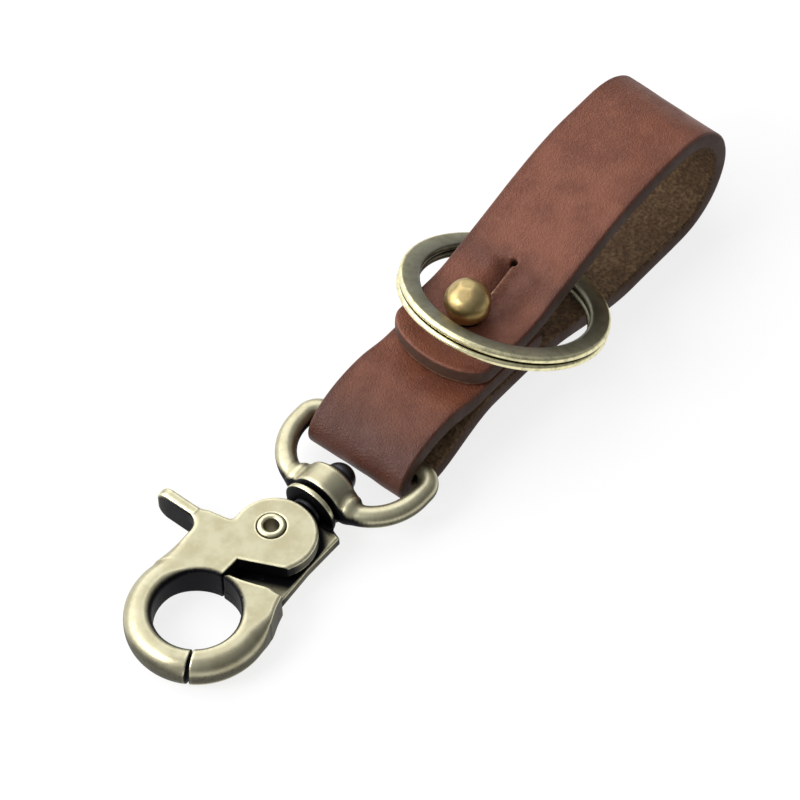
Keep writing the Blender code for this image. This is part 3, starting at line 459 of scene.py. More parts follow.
def common(first: Field, second: Field, edge: float) -> Field:
    """Keep what two solids share: the greater distance, more where the two are close.

    Args:
        first: one solid.
        second: the other.
        edge: how close the two are where the edge starts to be broken.

    Returns:
        The signed distance.
    """
    def distance(x: Array, y: Array, z: Array) -> Array:
        """Return the distance to what both hold.

        Args:
            x, y, z: places, of shapes that broadcast.

        Returns:
            The distance at each place.
        """
        a, b = first(x, y, z), second(x, y, z)
        close = np.maximum(edge - np.abs(a - b), 0)
        return np.maximum(a, b) + close * close / (4 * edge)
    return distance


def slope(solid: Field, points: Array, reach: float = 0.02) -> Array:
    """Return the distance's gradient by central differences.

    Args:
        solid: the signed distance.
        points: places, (n, 3).
        reach: how far each side it is read.

    Returns:
        The gradient at each place, (n, 3).
    """
    parts = []
    for axis in range(3):
        shift = np.zeros(3)
        shift[axis] = reach
        parts.append(solid(*(points + shift).T) - solid(*(points - shift).T))
    return np.stack(parts, -1) / (2 * reach)


def skinned(solid: Field, low: Array, high: Array, step: float) -> tuple[Array, Array]:
    """Return the surface where a distance is nought.

    The distance is worked out on a grid. Each cell with corners on both sides gets one point, at
    the mean of the places where its edges cross nought, and each crossed grid edge gets the quad
    of its four cells. Then each point is moved twice down the slope onto the surface.

    Args:
        solid: the signed distance.
        low: lowest corner of the grid.
        high: highest corner of the grid.
        step: size of a cell.

    Returns:
        Points and quads, turned outwards.
    """
    axes = [np.arange(a, b + step, step) for a, b in zip(low, high)]
    x, y, z = axes[0][:, None, None], axes[1][None, :, None], axes[2][None, None, :]
    value = np.broadcast_to(solid(x, y, z), tuple(len(a) for a in axes)).astype(np.float32)
    inside = value < 0
    shape = np.array(value.shape) - 1
    corners = list(itertools.product((0, 1), repeat=3))

    def corner_of(data: Array, corner: tuple[int, int, int]) -> Array:
        """Return one corner's value for every cell."""
        return data[tuple(slice(c, c + n) for c, n in zip(corner, shape))]

    held = sum(corner_of(inside, c).astype(np.int8) for c in corners)
    active = (held > 0) & (held < 8)
    cells = np.argwhere(active)
    number = np.full(active.shape, -1)
    number[active] = np.arange(len(cells))
    total, count = np.zeros((len(cells), 3)), np.zeros(len(cells))
    for a, b in itertools.combinations(corners, 2):
        if sum(abs(p - q) for p, q in zip(a, b)) != 1:
            continue
        va, vb = corner_of(value, a)[active], corner_of(value, b)[active]
        crosses = (va < 0) != (vb < 0)
        share = np.where(crosses, va / np.where(crosses, va - vb, 1), 0)
        place = np.array(a) + share[:, None] * (np.array(b) - np.array(a))
        total += np.where(crosses[:, None], place, 0)
        count += crosses
    points = np.array([a[0] for a in axes]) + (cells + total / count[:, None]) * step
    quads = []
    for axis in range(3):
        u, w = (axis + 1) % 3, (axis + 2) % 3
        ends = [slice(1, -1)] * 3
        ends[axis] = slice(0, -1)
        here = inside[tuple(ends)]
        ends[axis] = slice(1, None)
        crossed = np.argwhere(here != inside[tuple(ends)])
        facing = here[tuple(crossed.T)]
        start = crossed.copy()
        start[:, [u, w]] += 1
        ring = []
        for du, dw in ((1, 1), (0, 1), (0, 0), (1, 0)):
            cell = start.copy()
            cell[:, u] -= du
            cell[:, w] -= dw
            ring.append(number[tuple(cell.T)])
        quad = np.stack(ring, -1)
        quad[~facing] = quad[~facing][:, ::-1]
        quads.append(quad)
    for _ in range(2):
        steep = slope(solid, points)
        size = np.maximum((steep**2).sum(1), 0.3)
        move = -solid(*points.T) / size
        points = points + np.clip(move, -step / 2, step / 2)[:, None] * steep
    return points, np.concatenate(quads)


def crest_and_recess(points: Array, solid: Field, near: Field) -> dict[str, Array]:
    """Measure how exposed each point of a casting is.

    Crest is the distance's Laplacian, which is the surface's curvature, scaled so that an edge
    of half a millimetre reads 1. Recess is the shortfall of open room along the normal, out to
    four distances, where near is everything that can shade the point: painted shade, with the
    dark patina of hollows. Upright faces, and those towards the hook, are darkened as painted
    shade too.

    Args:
        points: places on the surface, (n, 3).
        solid: the casting's own distance.
        near: the distance to the casting and its neighbours.

    Returns:
        The two values for each point, each in 0..1.
    """
    total = -6 * solid(*points.T)
    for axis in range(3):
        for sign in (-1, 1):
            shift = np.zeros(3)
            shift[axis] = sign * CREST_REACH
            total += solid(*(points + shift).T)
    normal = slope(solid, points)
    normal /= np.linalg.norm(normal, axis=1, keepdims=True)
    # Painted shade where the open room along the normal is short, with the dark patina of hollows.
    shade = np.zeros(len(points))
    for out, weight in SHADE_REACHES:
        room = near(*(points + normal * out).T)
        shade += weight * np.clip(1 - room / out, 0, 1)
    # Painted shade on upright faces and on faces towards the hook.
    side_shade = UPRIGHT_SHADE * np.maximum(1 - smooth_step(np.abs(normal[:, 2]), 0.1, 0.55),
                                         smooth_step(-normal[:, 0], 0.55, 0.95))
    return {"crest": np.clip(total / CREST_REACH**2 * CREST_GAIN, 0, 1),
            "patina_and_shade": np.clip(shade * SHADE_GAIN + side_shade, 0, 1)}


# Node sheets and shared effects

class Sheet:
    """A node tree that is being filled in."""

    def __init__(self, tree: bpy.types.NodeTree) -> None:
        """Keep the tree."""
        self.tree = tree

    def add(self, kind: str, inputs: dict | None = None, **settings: object) -> bpy.types.Node:
        """Add a node.

        Args:
            kind: the node's type name without its ShaderNode prefix.
            inputs: socket name or number to a value, or to another node's socket to link from.
            settings: attributes of the node.

        Returns:
            The node.
        """
        prefix = "" if kind.startswith("NodeGroup") else "ShaderNode"
        node = self.tree.nodes.new(prefix + kind)
        for label, value in settings.items():
            setattr(node, label, value)
        for label, value in (inputs or {}).items():
            self.feed(node.inputs[label], value)
        return node

    def feed(self, socket: bpy.types.NodeSocket, value: object) -> None:
        """Link a socket to feed this one, or set its own value.

        Args:
            socket: the input socket.
            value: a socket, a node, a colour or a plain value.
        """
        if isinstance(value, bpy.types.NodeSocket):
            self.tree.links.new(value, socket)
        elif isinstance(value, bpy.types.Node):
            self.tree.links.new(value.outputs[0], socket)
        elif isinstance(value, tuple) and len(value) == 3 and socket.type == "RGBA":
            socket.default_value = (*value, 1.0)
        else:
            socket.default_value = value

    def maths(self, operation: str, *values: object, clamp: bool = False) -> bpy.types.NodeSocket:
        """Add a Math node and return its result."""
        node = self.add("Math", dict(enumerate(values)), operation=operation, use_clamp=clamp)
        return node.outputs[0]

    def times(self, first: object, second: object) -> bpy.types.NodeSocket:
        """Multiply two values."""
        return self.maths("MULTIPLY", first, second)

    def plus(self, first: object, second: object, clamp: bool = False) -> bpy.types.NodeSocket:
        """Add two values, held to 0..1 where asked."""
        return self.maths("ADD", first, second, clamp=clamp)

    def minus(self, first: object, second: object, clamp: bool = False) -> bpy.types.NodeSocket:
        """Take the second value from the first, held to 0..1 where asked."""
        return self.maths("SUBTRACT", first, second, clamp=clamp)

    def mix(self, share: object, first: object, second: object) -> bpy.types.NodeSocket:
        """Mix two colours by a share and return the result."""
        return self.add("Mix", {0: share, 6: first, 7: second}, data_type="RGBA").outputs[2]

    def ramp(self, value: object, low: float, high: float, start: float = 0.0,
             end: float = 1.0) -> bpy.types.NodeSocket:
        """Carry a value from low..high to start..end with soft ends and return it.

        Args:
            value: the value.
            low: where the step starts.
            high: where it ends.
            start: result at low.
            end: result at high.

        Returns:
            The result.
        """
        node = self.add("MapRange", {0: value, 1: low, 2: high, 3: start, 4: end},
                        interpolation_type="SMOOTHSTEP")
        return node.outputs[0]

    def noise(self, vector: object, scale: float, detail: float = 3.0,
              rough: float = 0.55) -> bpy.types.NodeSocket:
        """Add a Noise Texture and return its value.

        Args:
            vector: where it is read.
            scale: its scale.
            detail: its octaves.
            rough: how strong the finer octaves are.

        Returns:
            The value, in about 0..1.
        """
        node = self.add("TexNoise", {"Vector": vector, "Scale": scale, "Detail": detail,
                                     "Roughness": rough})
        return node.outputs["Fac"]

    def stretched(self, vector: object, size: tuple[float, float, float],
                  turn: tuple[float, float, float] = (0, 0, 0)) -> bpy.types.NodeSocket:
        """Turn a vector, then stretch it, and return it.

        Args:
            vector: the vector.
            size: factors along each axis.
            turn: angles about each axis.

        Returns:
            The vector, turned and stretched.
        """
        node = self.add("Mapping", {"Vector": vector, "Rotation": turn})
        second = self.add("Mapping", {"Vector": node.outputs[0], "Scale": size})
        return second.outputs[0]


class Socket(Enum):
    """The kinds of socket a shared effect has."""

    NUMBER = "NodeSocketFloat"
    COLOUR = "NodeSocketColor"
    VECTOR = "NodeSocketVector"


def new_effect(name: str, takes: dict[str, Socket],
               gives: dict[str, Socket]) -> tuple[bpy.types.NodeTree, Sheet, dict]:
    """Start a shared effect.

    Args:
        name: the node group's name.
        takes: its inputs by name.
        gives: its outputs by name.

    Returns:
        The group, its sheet, and its input sockets by name; finish_effect links the outputs.
    """
    tree = bpy.data.node_groups.new(name, "ShaderNodeTree")
    for label, kind in takes.items():
        tree.interface.new_socket(label, in_out="INPUT", socket_type=kind.value)
    for label, kind in gives.items():
        tree.interface.new_socket(label, in_out="OUTPUT", socket_type=kind.value)
    sheet = Sheet(tree)
    source = sheet.add("NodeGroupInput")
    return tree, sheet, {label: source.outputs[label] for label in takes}


def finish_effect(sheet: Sheet, results: dict[str, bpy.types.NodeSocket]) -> None:
    """Link a shared effect's results to its output."""
    sheet.add("NodeGroupOutput", results)


class Effects:
    """The shader node groups that more than one material uses, each built once."""

    def __init__(self) -> None:
        """Build every shared effect."""
        self.scratches = self.build_scratches()
        self.grain = self.build_grain()
        self.wear_and_highlight = self.build_wear_and_highlight()
        self.patina = self.build_patina()

    def build_scratches(self) -> bpy.types.NodeTree:
        """Fine lines in three directions, broken up by cloudy noise.

        Each line is a thin band of long stretched noise; a second noise decides where lines show.

        Returns:
            The node group.
        """
        tree, sheet, takes = new_effect(
            "fine_scratches", {"Vector": Socket.VECTOR, "Density": Socket.NUMBER},
            {"Mask": Socket.NUMBER})
        total = None
        for turn, scale, gate in ((0.35, 1.0, 2.1), (1.25, 1.3, 1.7), (2.4, 0.8, 2.6)):
            run = sheet.stretched(takes["Vector"], (scale * 0.16, scale * 3.4, 1.0), (0, 0, turn))
            line = sheet.noise(run, 1.0, 1.0, 0.4)
            band = sheet.ramp(sheet.maths("ABSOLUTE", sheet.minus(line, 0.5)),
                              0.0, 0.012, 1.0, 0.0)
            where = sheet.noise(takes["Vector"], 0.11 * gate, 2.0)
            limit = sheet.minus(0.72, sheet.times(takes["Density"], 0.3))
            open_here = sheet.add("MapRange", {0: where, 1: limit, 2: 0.8, 3: 0.0, 4: 1.0})
            part = sheet.times(band, open_here.outputs[0])
            total = part if total is None else sheet.maths("MAXIMUM", total, part)
        finish_effect(sheet, {"Mask": total})
        return tree

    def build_grain(self) -> bpy.types.NodeTree:
        """Leather grain: small rounded cells between fine creases, with pores and cloudy tone.

        Returns:
            The node group.
        """
        tree, sheet, takes = new_effect(
            "leather_grain", {"Vector": Socket.VECTOR, "Size": Socket.NUMBER},
            {"Height": Socket.NUMBER, "Pores": Socket.NUMBER, "Cloud": Socket.NUMBER})
        scale = sheet.maths("DIVIDE", 1.0, takes["Size"])
        warp = sheet.add("TexNoise", {"Vector": takes["Vector"], "Scale": 0.9, "Detail": 2.0})
        bent = sheet.add("VectorMath", {0: takes["Vector"], 1: warp.outputs["Color"]},
                         operation="ADD")
        cells = sheet.add("TexVoronoi", {"Vector": bent.outputs[0], "Scale": scale},
                          feature="DISTANCE_TO_EDGE")
        crease = sheet.ramp(cells.outputs["Distance"], 0.0, 0.28)
        fine = sheet.noise(takes["Vector"], 4.5, 3.0, 0.6)
        height = sheet.plus(sheet.times(crease, 0.6), sheet.times(fine, 0.5))
        dots = sheet.add("TexVoronoi", {"Vector": takes["Vector"], "Scale": 1.9})
        pores = sheet.ramp(dots.outputs["Distance"], 0.05, 0.16, 1.0, 0.0)
        cloud = sheet.noise(takes["Vector"], 0.16, 4.0, 0.6)
        finish_effect(sheet, {"Height": height, "Pores": pores, "Cloud": cloud})
        return tree

    def build_wear_and_highlight(self) -> bpy.types.NodeTree:
        """Edge wear and painted highlight: the crests, roughened by noise so that the brightening
        isn't an even line.

        Returns:
            The node group.
        """
        tree, sheet, takes = new_effect(
            "edge_wear_and_highlight", {"Vector": Socket.VECTOR, "Crest": Socket.NUMBER,
                          "Amount": Socket.NUMBER}, {"Wear and highlight": Socket.NUMBER})
        uneven = sheet.noise(takes["Vector"], 0.9, 4.0, 0.65)
        raised = sheet.times(takes["Crest"], takes["Amount"])
        broken = sheet.times(raised, sheet.ramp(uneven, 0.25, 0.6, 0.35, 1.0))
        finish_effect(sheet, {"Wear and highlight": sheet.maths("MINIMUM", broken, 1.0)})
        return tree

    def build_patina(self) -> bpy.types.NodeTree:
        """Antique plating: a mid tone, lighter on crests and darker in recesses.

        The tone is the mid colour drifting by cloudy noise, mixed to bright by edge wear and
        painted highlight, and to dark by patina and painted shade. Roughness falls where it is
        brightened, and fine brushing gives the height.

        Returns:
            The node group.
        """
        tree, sheet, takes = new_effect(
            "antique_patina",
            {"Vector": Socket.VECTOR, "Wear and highlight": Socket.NUMBER, "Patina and shade": Socket.NUMBER,
             "Mid": Socket.COLOUR, "Drift": Socket.COLOUR, "Bright": Socket.COLOUR,
             "Dark": Socket.COLOUR},
            {"Colour": Socket.COLOUR, "Roughness": Socket.NUMBER, "Height": Socket.NUMBER})
        cloud = sheet.noise(takes["Vector"], 0.28, 4.0, 0.6)
        speck = sheet.noise(takes["Vector"], 2.4, 3.0, 0.65)
        tone = sheet.mix(sheet.ramp(cloud, 0.35, 0.68), takes["Mid"], takes["Drift"])
        worn_and_highlit = sheet.mix(takes["Wear and highlight"], tone, takes["Bright"])
        # The dark comes from patina and painted shade in recesses, plus specks of tarnish.
        stain_and_shade = sheet.plus(takes["Patina and shade"], sheet.times(sheet.ramp(speck, 0.55, 0.8), 0.22))
        dirt_and_shade = sheet.ramp(stain_and_shade, 0.12, 0.85)
        colour = sheet.mix(dirt_and_shade, worn_and_highlit, takes["Dark"])
        brush = sheet.noise(sheet.stretched(takes["Vector"], (0.5, 6.0, 2.0), (0, 0, 0.5)),
                            1.6, 3.0, 0.6)
        rough = sheet.plus(0.3, sheet.times(brush, 0.14))
        rough = sheet.minus(rough, sheet.times(takes["Wear and highlight"], 0.06))
        rough = sheet.plus(rough, sheet.times(dirt_and_shade, 0.25), clamp=True)
        finish_effect(sheet, {"Colour": colour, "Roughness": rough, "Height": brush})
        return tree


def srgb(red: int, green: int, blue: int) -> tuple[float, float, float]:
    """Return a colour given in screen values 0..255 as linear light.

    Args:
        red: red.
        green: green.
        blue: blue.

    Returns:
        The three parts, each in 0..1.
    """
    value = np.array([red, green, blue]) / 255
    linear = np.where(value <= 0.04045, value / 12.92, ((value + 0.055) / 1.055) ** 2.4)
    return tuple(float(v) for v in linear)


def new_material(name: str) -> tuple[bpy.types.Material, Sheet, bpy.types.Node]:
    """Return a material with its sheet and its Principled shader.

    Args:
        name: the material's name.

    Returns:
        The material, its sheet and its shader.
    """
    material = bpy.data.materials.new(name)
    material.use_nodes = True
    return material, Sheet(material.node_tree), material.node_tree.nodes["Principled BSDF"]


@dataclass(frozen=True)
class LeatherFinish:
    """Oiled brown leather: grain side, dark cut edges and a rough flesh side."""

    grain: tuple[float, float, float] = srgb(120, 68, 46)
    deep: tuple[float, float, float] = srgb(104, 56, 38)
    scuffed: tuple[float, float, float] = srgb(152, 108, 92)
    flesh: tuple[float, float, float] = srgb(142, 114, 84)
    flesh_deep: tuple[float, float, float] = srgb(84, 64, 45)
    cut_edge: tuple[float, float, float] = srgb(68, 46, 35)
    darkening_with_shade: tuple[float, float, float] = srgb(62, 30, 19)
    warm: tuple[float, float, float] = srgb(128, 78, 58)
    flesh_stain: tuple[float, float, float] = srgb(84, 60, 42)
    edge_layer: tuple[float, float, float] = srgb(80, 54, 42)
    torn_skin: tuple[float, float, float] = srgb(164, 128, 98)
    grain_size: float = 0.62
    scratch_density: float = 0.8
    specular: float = 0.34
    bump: float = 0.55
    bump_depth: float = 0.12
    thickness: float = 3.5

    def build(self, effects: Effects) -> bpy.types.Material:
        """Return the material.

        The piece's own attribute gives place along the strip, across it and depth from the grain
        side, in millimetres; depth parts grain, cut edge and flesh.

        Args:
            effects: the shared effects.

        Returns:
            The material.
        """
        material, sheet, shader = new_material("oiled_leather")
        place = sheet.add("Attribute", attribute_name="strip").outputs["Vector"]
        depth = sheet.add("SeparateXYZ", {0: place}).outputs[2]
        flat = sheet.add("VectorMath", {0: place, 1: (1, 1, 0.2)}, operation="MULTIPLY").outputs[0]
        grain = sheet.add("Group", node_tree=effects.grain)
        sheet.feed(grain.inputs["Vector"], flat)
        grain.inputs["Size"].default_value = self.grain_size
        lines = sheet.add("Group", node_tree=effects.scratches)
        sheet.feed(lines.inputs["Vector"], flat)
        lines.inputs["Density"].default_value = self.scratch_density
        is_flesh = sheet.ramp(depth, self.thickness - 0.75, self.thickness - 0.4)
        is_edge = sheet.minus(sheet.ramp(depth, 0.2, 0.46), is_flesh, clamp=True)
        cloud = sheet.ramp(grain.outputs["Cloud"], 0.35, 0.65)
        tone = sheet.mix(cloud, self.grain, self.deep)
        fine = sheet.noise(flat, 1.1, 4.0, 0.65)
        tone = sheet.mix(sheet.ramp(fine, 0.4, 0.75, 0.0, 0.45), tone, self.warm)
        tone = sheet.mix(sheet.times(grain.outputs["Pores"], 0.35), tone, self.deep)
        tone = sheet.mix(sheet.times(lines.outputs["Mask"], 0.65), tone, self.scuffed)
        fibre = sheet.noise(place, 1.5, 5.0, 0.7)
        mottle = sheet.noise(place, 0.35, 3.0, 0.6)
        rough_side = sheet.mix(sheet.ramp(fibre, 0.35, 0.65), self.flesh_deep, self.flesh)
        rough_side = sheet.mix(sheet.ramp(mottle, 0.35, 0.7, 0.0, 0.5), rough_side,
                               self.flesh_stain)
        layers = sheet.noise(sheet.stretched(place, (0.6, 0.6, 4.0)), 1.4, 4.0, 0.6)
        edge = sheet.mix(sheet.ramp(layers, 0.35, 0.7), self.cut_edge, self.edge_layer)
        darkening_and_shade = sheet.add("Attribute", attribute_name="darkening_and_shade").outputs["Fac"]
        torn = sheet.add("Attribute", attribute_name="torn").outputs["Fac"]
        # Darkening over the fold and edges, with painted shade beside the slit and across its far
        # end.
        tone = sheet.mix(sheet.times(darkening_and_shade, 0.8), tone, self.darkening_with_shade)
        tone = sheet.mix(sheet.times(torn, sheet.ramp(fibre, 0.4, 0.6)), tone, self.torn_skin)
        colour = sheet.mix(is_flesh, tone, rough_side)
        colour = sheet.mix(is_edge, colour, edge)
        sheet.feed(shader.inputs["Base Color"], colour)
        sheen = sheet.plus(0.44, sheet.times(cloud, 0.1))
        sheen = sheet.plus(sheen, sheet.times(is_flesh, 0.42))
        sheen = sheet.plus(sheen, sheet.times(is_edge, 0.2), clamp=True)
        sheet.feed(shader.inputs["Roughness"], sheen)
        shader.inputs["Specular IOR Level"].default_value = self.specular
        skin = sheet.minus(grain.outputs["Height"], sheet.times(grain.outputs["Pores"], 0.5))
        skin = sheet.minus(skin, sheet.times(lines.outputs["Mask"], 0.8))
        fuzz = sheet.times(fibre, 3.2)
        layered = sheet.times(layers, 1.4)
        height = sheet.add("Mix", {0: is_flesh, 2: skin, 3: fuzz}, data_type="FLOAT").outputs[0]
        height = sheet.add("Mix", {0: is_edge, 2: height, 3: layered},
                           data_type="FLOAT").outputs[0]
        bump = sheet.add("Bump", {"Height": height})
        bump.inputs["Strength"].default_value = self.bump
        bump.inputs["Distance"].default_value = self.bump_depth * MM
        sheet.feed(shader.inputs["Normal"], bump.outputs[0])
        return material


@dataclass(frozen=True)
class PlatedFinish:
    """Antique plated metal: mid and drifting tones, a bright tone for edge wear and painted
    highlight, and a dark one for patina and painted shade.
    """

    name: str
    mid: tuple[float, float, float]
    drift: tuple[float, float, float]
    bright: tuple[float, float, float]
    dark: tuple[float, float, float]
    wear_and_highlight_gain: float
    scratch_density: float = 0.35
    bump: float = 0.12
    bump_depth: float = 0.03

    def build(self, effects: Effects) -> bpy.types.Material:
        """Return the material, on Object coordinates and the piece's crest and its patina and
        painted shade.

        Args:
            effects: the shared effects.

        Returns:
            The material.
        """
        material, sheet, shader = new_material(self.name)
        place = sheet.add("TexCoord").outputs["Object"]
        large = sheet.add("VectorMath", {0: place, "Scale": 1 / MM}, operation="SCALE").outputs[0]
        crest = sheet.add("Attribute", attribute_name="crest").outputs["Fac"]
        patina_and_shade = sheet.add("Attribute", attribute_name="patina_and_shade").outputs["Fac"]
        # Crests brighten as edge wear and, on the ring and the ball, as painted highlight.
        wear_and_highlight = sheet.add("Group", node_tree=effects.wear_and_highlight)
        sheet.feed(wear_and_highlight.inputs["Vector"], large)
        sheet.feed(wear_and_highlight.inputs["Crest"], crest)
        wear_and_highlight.inputs["Amount"].default_value = self.wear_and_highlight_gain
        patina = sheet.add("Group", node_tree=effects.patina)
        for label, value in (("Vector", large), ("Wear and highlight", wear_and_highlight.outputs[0]), ("Patina and shade", patina_and_shade),
                             ("Mid", self.mid), ("Drift", self.drift), ("Bright", self.bright),
                             ("Dark", self.dark)):
            sheet.feed(patina.inputs[label], value)
        lines = sheet.add("Group", node_tree=effects.scratches)
        sheet.feed(lines.inputs["Vector"], large)
        lines.inputs["Density"].default_value = self.scratch_density
        colour = sheet.mix(sheet.times(lines.outputs["Mask"], 0.25),
                           patina.outputs["Colour"], self.bright)
        sheet.feed(shader.inputs["Base Color"], colour)
        sheet.feed(shader.inputs["Roughness"], patina.outputs["Roughness"])
        shader.inputs["Metallic"].default_value = 1.0
        bump = sheet.add("Bump", {"Height": patina.outputs["Height"]})
        bump.inputs["Strength"].default_value = self.bump
        bump.inputs["Distance"].default_value = self.bump_depth * MM
        sheet.feed(shader.inputs["Normal"], bump.outputs[0])
        return material


BRASS = PlatedFinish("antique_brass", srgb(174, 169, 143), srgb(161, 154, 126),
                     srgb(242, 236, 200), srgb(24, 23, 27), 0.8)
# The ring's brass is a darker copy of the snap's, as painted shade, with stronger brightening for
# its painted edge highlights.
RING_BRASS_SHADED = PlatedFinish("ring_brass_shaded", srgb(140, 138, 122), srgb(118, 115, 96),
                          srgb(246, 238, 190), srgb(24, 21, 18), 1.0)
BALL_BRASS = PlatedFinish("worn_brass", srgb(178, 154, 98), srgb(150, 124, 74),
                          srgb(226, 210, 164), srgb(48, 38, 30), 0.8)
DARK_STEEL = PlatedFinish("dark_steel", srgb(74, 73, 76), srgb(58, 57, 60),
                          srgb(120, 120, 122), srgb(22, 21, 22), 0.5)
SPRING_STEEL = PlatedFinish("spring_steel", srgb(150, 150, 152), srgb(128, 128, 132),
                            srgb(205, 205, 208), srgb(50, 50, 52), 0.5)


# Places

@dataclass(frozen=True)
class Places:
    """Where the frame puts the main axes, in millimetres."""

    stud: Array
    hinge: Array
    ring_edge: Array
    swivel: Array
    snap_x: Array
    snap_z: Array

    @classmethod
    def read(cls) -> "Places":
        """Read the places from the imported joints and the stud's box.

        Returns:
            The places.
        """
        joints = {joint["name"]: joint for joint in frame["joints"]}
        low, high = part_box("stud_ball")
        middle = (np.array(low) + np.array(high)) / 2 / MM
        away = -np.array(joints["hook_swivel"]["axis"], float)
        away /= np.linalg.norm(away)
        return cls(stud=np.array([middle[0], middle[1], 0.0]),
                   hinge=np.array(joints["tongue_open"]["pos_m"]) / MM,
                   ring_edge=np.array(joints["ring_swing"]["pos_m"]) / MM,
                   swivel=np.array(joints["hook_swivel"]["pos_m"]) / MM,
                   snap_x=away, snap_z=np.cross(away, [0.0, 1.0, 0.0]))

    def from_snap(self, points: Array) -> Array:
        """Carry points measured from the collar's middle, X away from the hook, into the frame."""
        return (self.swivel + points[:, :1] * self.snap_x + points[:, 1:2] * [0.0, 1.0, 0.0]
                + points[:, 2:] * self.snap_z)


# Leather

@dataclass(frozen=True)
class Hole:
    """A round hole on the strip's middle line."""

    centre: float
    radius: float


@dataclass(frozen=True)
class Slit:
    """A straight cut along the strip's middle line."""

    start: float
    end: float
    half: float


@dataclass
class Strap:
    """The leather strip: top lap, fold, bottom run, loop, crest and buttoned tongue."""

    places: Places
    leather: bpy.types.Material
    half_width: float = 9.75
    thickness: float = 3.5
    edge_round: float = 0.45
    step: float = 0.6
    lap_end: float = 7.0
    lap_top: float = 12.3
    lap_flat: float = 9.0
    fold: float = 23.5
    fold_radius: float = 6.0
    fold_length: float = 8.6
    fold_upper_length: float = 13.5
    lap_bulge: float = 13.3
    stack_half: float = 5.0
    stack_height: float = 5.0
    loop: float = 43.9
    loop_radius: float = 12.4
    flat_under_loop: float = 13.0
    hinge: float = 38.9
    tongue_top: float = 16.1
    seat: float = 2.0
    lift_length: float = 6.0
    lift: float = 1.1
    rise: float = 0.33
    tip: float = 10.8
    tip_round: float = 5.0
    button_hole: float = 2.3
    slit_end: float = 11.7
    slit_half: float = 0.28
    slit_hole: float = 0.7
    seam: float = 30.0
    sunk_depth: float = 1.9
    lip_height: float = 0.55
    shoulder_height: float = 0.25
    crease_height: float = 0.16
    slow_wave: float = 0.12
    short_wave: float = 0.05
    run_slow_wave: float = 0.1
    run_short_wave: float = 0.04
    slit_end_shade: float = 10.8
    line: Array = field(init=False)
    reach: Array = field(init=False)
    starts: dict[str, tuple[float, float]] = field(init=False)

    def __post_init__(self) -> None:
        """Lay out the grain side's middle line from the lap's end to the tongue's tip.

        The line is straight runs, two quarters of ellipses at the fold, half a circle at the
        loop, and cubics that are level where they meet a straight. The lap bulges over the eye.
        Each stretch's start and end along the line are kept by name.
        """
        flat = self.loop - self.flat_under_loop
        crest = 2 * self.loop_radius
        end = -self.fold - self.fold_radius
        upper = end + self.fold_upper_length
        lifted = (self.seat + self.lift_length, self.tongue_top + self.lift)
        stretches = {
            "lap": np.array([[self.lap_end, self.lap_top], [-self.lap_flat, self.lap_top]]),
            "to_fold": eased((-self.lap_flat, self.lap_top), 0, (upper, self.lap_bulge), 0),
            "fold": np.concatenate([
                arc(0, 0, 1.0, 90, 180, 60) * [upper - end, self.lap_bulge - self.fold_radius]
                + [upper, self.fold_radius],
                arc(0, 0, 1.0, 180, 270, 30) * [self.fold_length, self.fold_radius]
                + [end + self.fold_length, self.fold_radius]]),
            "from_fold": eased((end + self.fold_length, 0), 0,
                               (-self.stack_half, self.stack_height), 0),
            "stack": np.array([[-self.stack_half, self.stack_height],
                               [self.stack_half, self.stack_height]]),
            "run": eased((self.stack_half, self.stack_height), 0, (flat, 0), 0),
            "loop": arc(self.loop, self.loop_radius, self.loop_radius, -90, 90, 90),
            "crest": np.array([[self.loop, crest], [self.hinge, crest]]),
            "slope": eased((self.hinge, crest), 0, lifted, self.rise, 90),
            "dip": eased(lifted, self.rise, (self.seat, self.tongue_top), 0),
            "tongue": np.array([[self.seat, self.tongue_top], [-self.tip, self.tongue_top]])}
        self.starts = {}
        line = stretches["lap"][:1]
        length = 0.0
        for name, points in stretches.items():
            before = length
            joined_on = np.concatenate([line[-1:], points])
            length += float(np.linalg.norm(np.diff(joined_on, axis=0), axis=1).sum())
            line = np.concatenate([line, points])
            self.starts[name] = (before, length)
        gaps = np.linalg.norm(np.diff(line, axis=0), axis=1)
        keep = np.concatenate([[True], gaps > 1e-6])
        rough = line[keep]
        rough_reach = np.concatenate([[0], np.cumsum(np.linalg.norm(np.diff(rough, axis=0),
                                                                    axis=1))])
        self.reach = np.arange(0, rough_reach[-1], 0.2)
        self.line = np.stack([np.interp(self.reach, rough_reach, rough[:, k]) for k in (0, 1)], -1)

    def along(self, stretch: str, x: float) -> float:
        """Return the distance along the strip where a stretch passes x, measured from the stud.

        Args:
            stretch: the stretch's name.
            x: the place passed.

        Returns:
            The distance from the start of the strip.
        """
        start, end = self.starts[stretch]
        inside = (self.reach >= start - 0.2) & (self.reach <= end + 0.2)
        order = np.argsort(self.line[inside, 0])
        return float(np.interp(x, self.line[inside, 0][order], self.reach[inside][order]))

    def put(self, s: Array, y: Array, depth: Array) -> Array:
        """Carry strip coordinates into the frame.

        A point is the middle line at s, less depth along the outward normal, which is the tangent
        turned a quarter, and y across. The tangent is smoothed over a millimetre and a half.

        Args:
            s: places along the strip.
            y: places across it.
            depth: how far below the grain side.

        Returns:
            The points, (n, 3).
        """
        kernel = np.ones(7) / 7
        tangent = np.gradient(self.line, axis=0)
        padded = np.pad(tangent, ((3, 3), (0, 0)), mode="edge")
        tangent = np.stack([np.convolve(padded[:, k], kernel, "valid") for k in (0, 1)], -1)
        tangent /= np.linalg.norm(tangent, axis=1, keepdims=True)
        x, z = (np.interp(s, self.reach, self.line[:, k]) for k in (0, 1))
        tx, tz = (np.interp(s, self.reach, tangent[:, k]) for k in (0, 1))
        return self.places.stud + np.stack([x - tz * depth, y, z + tx * depth], -1)

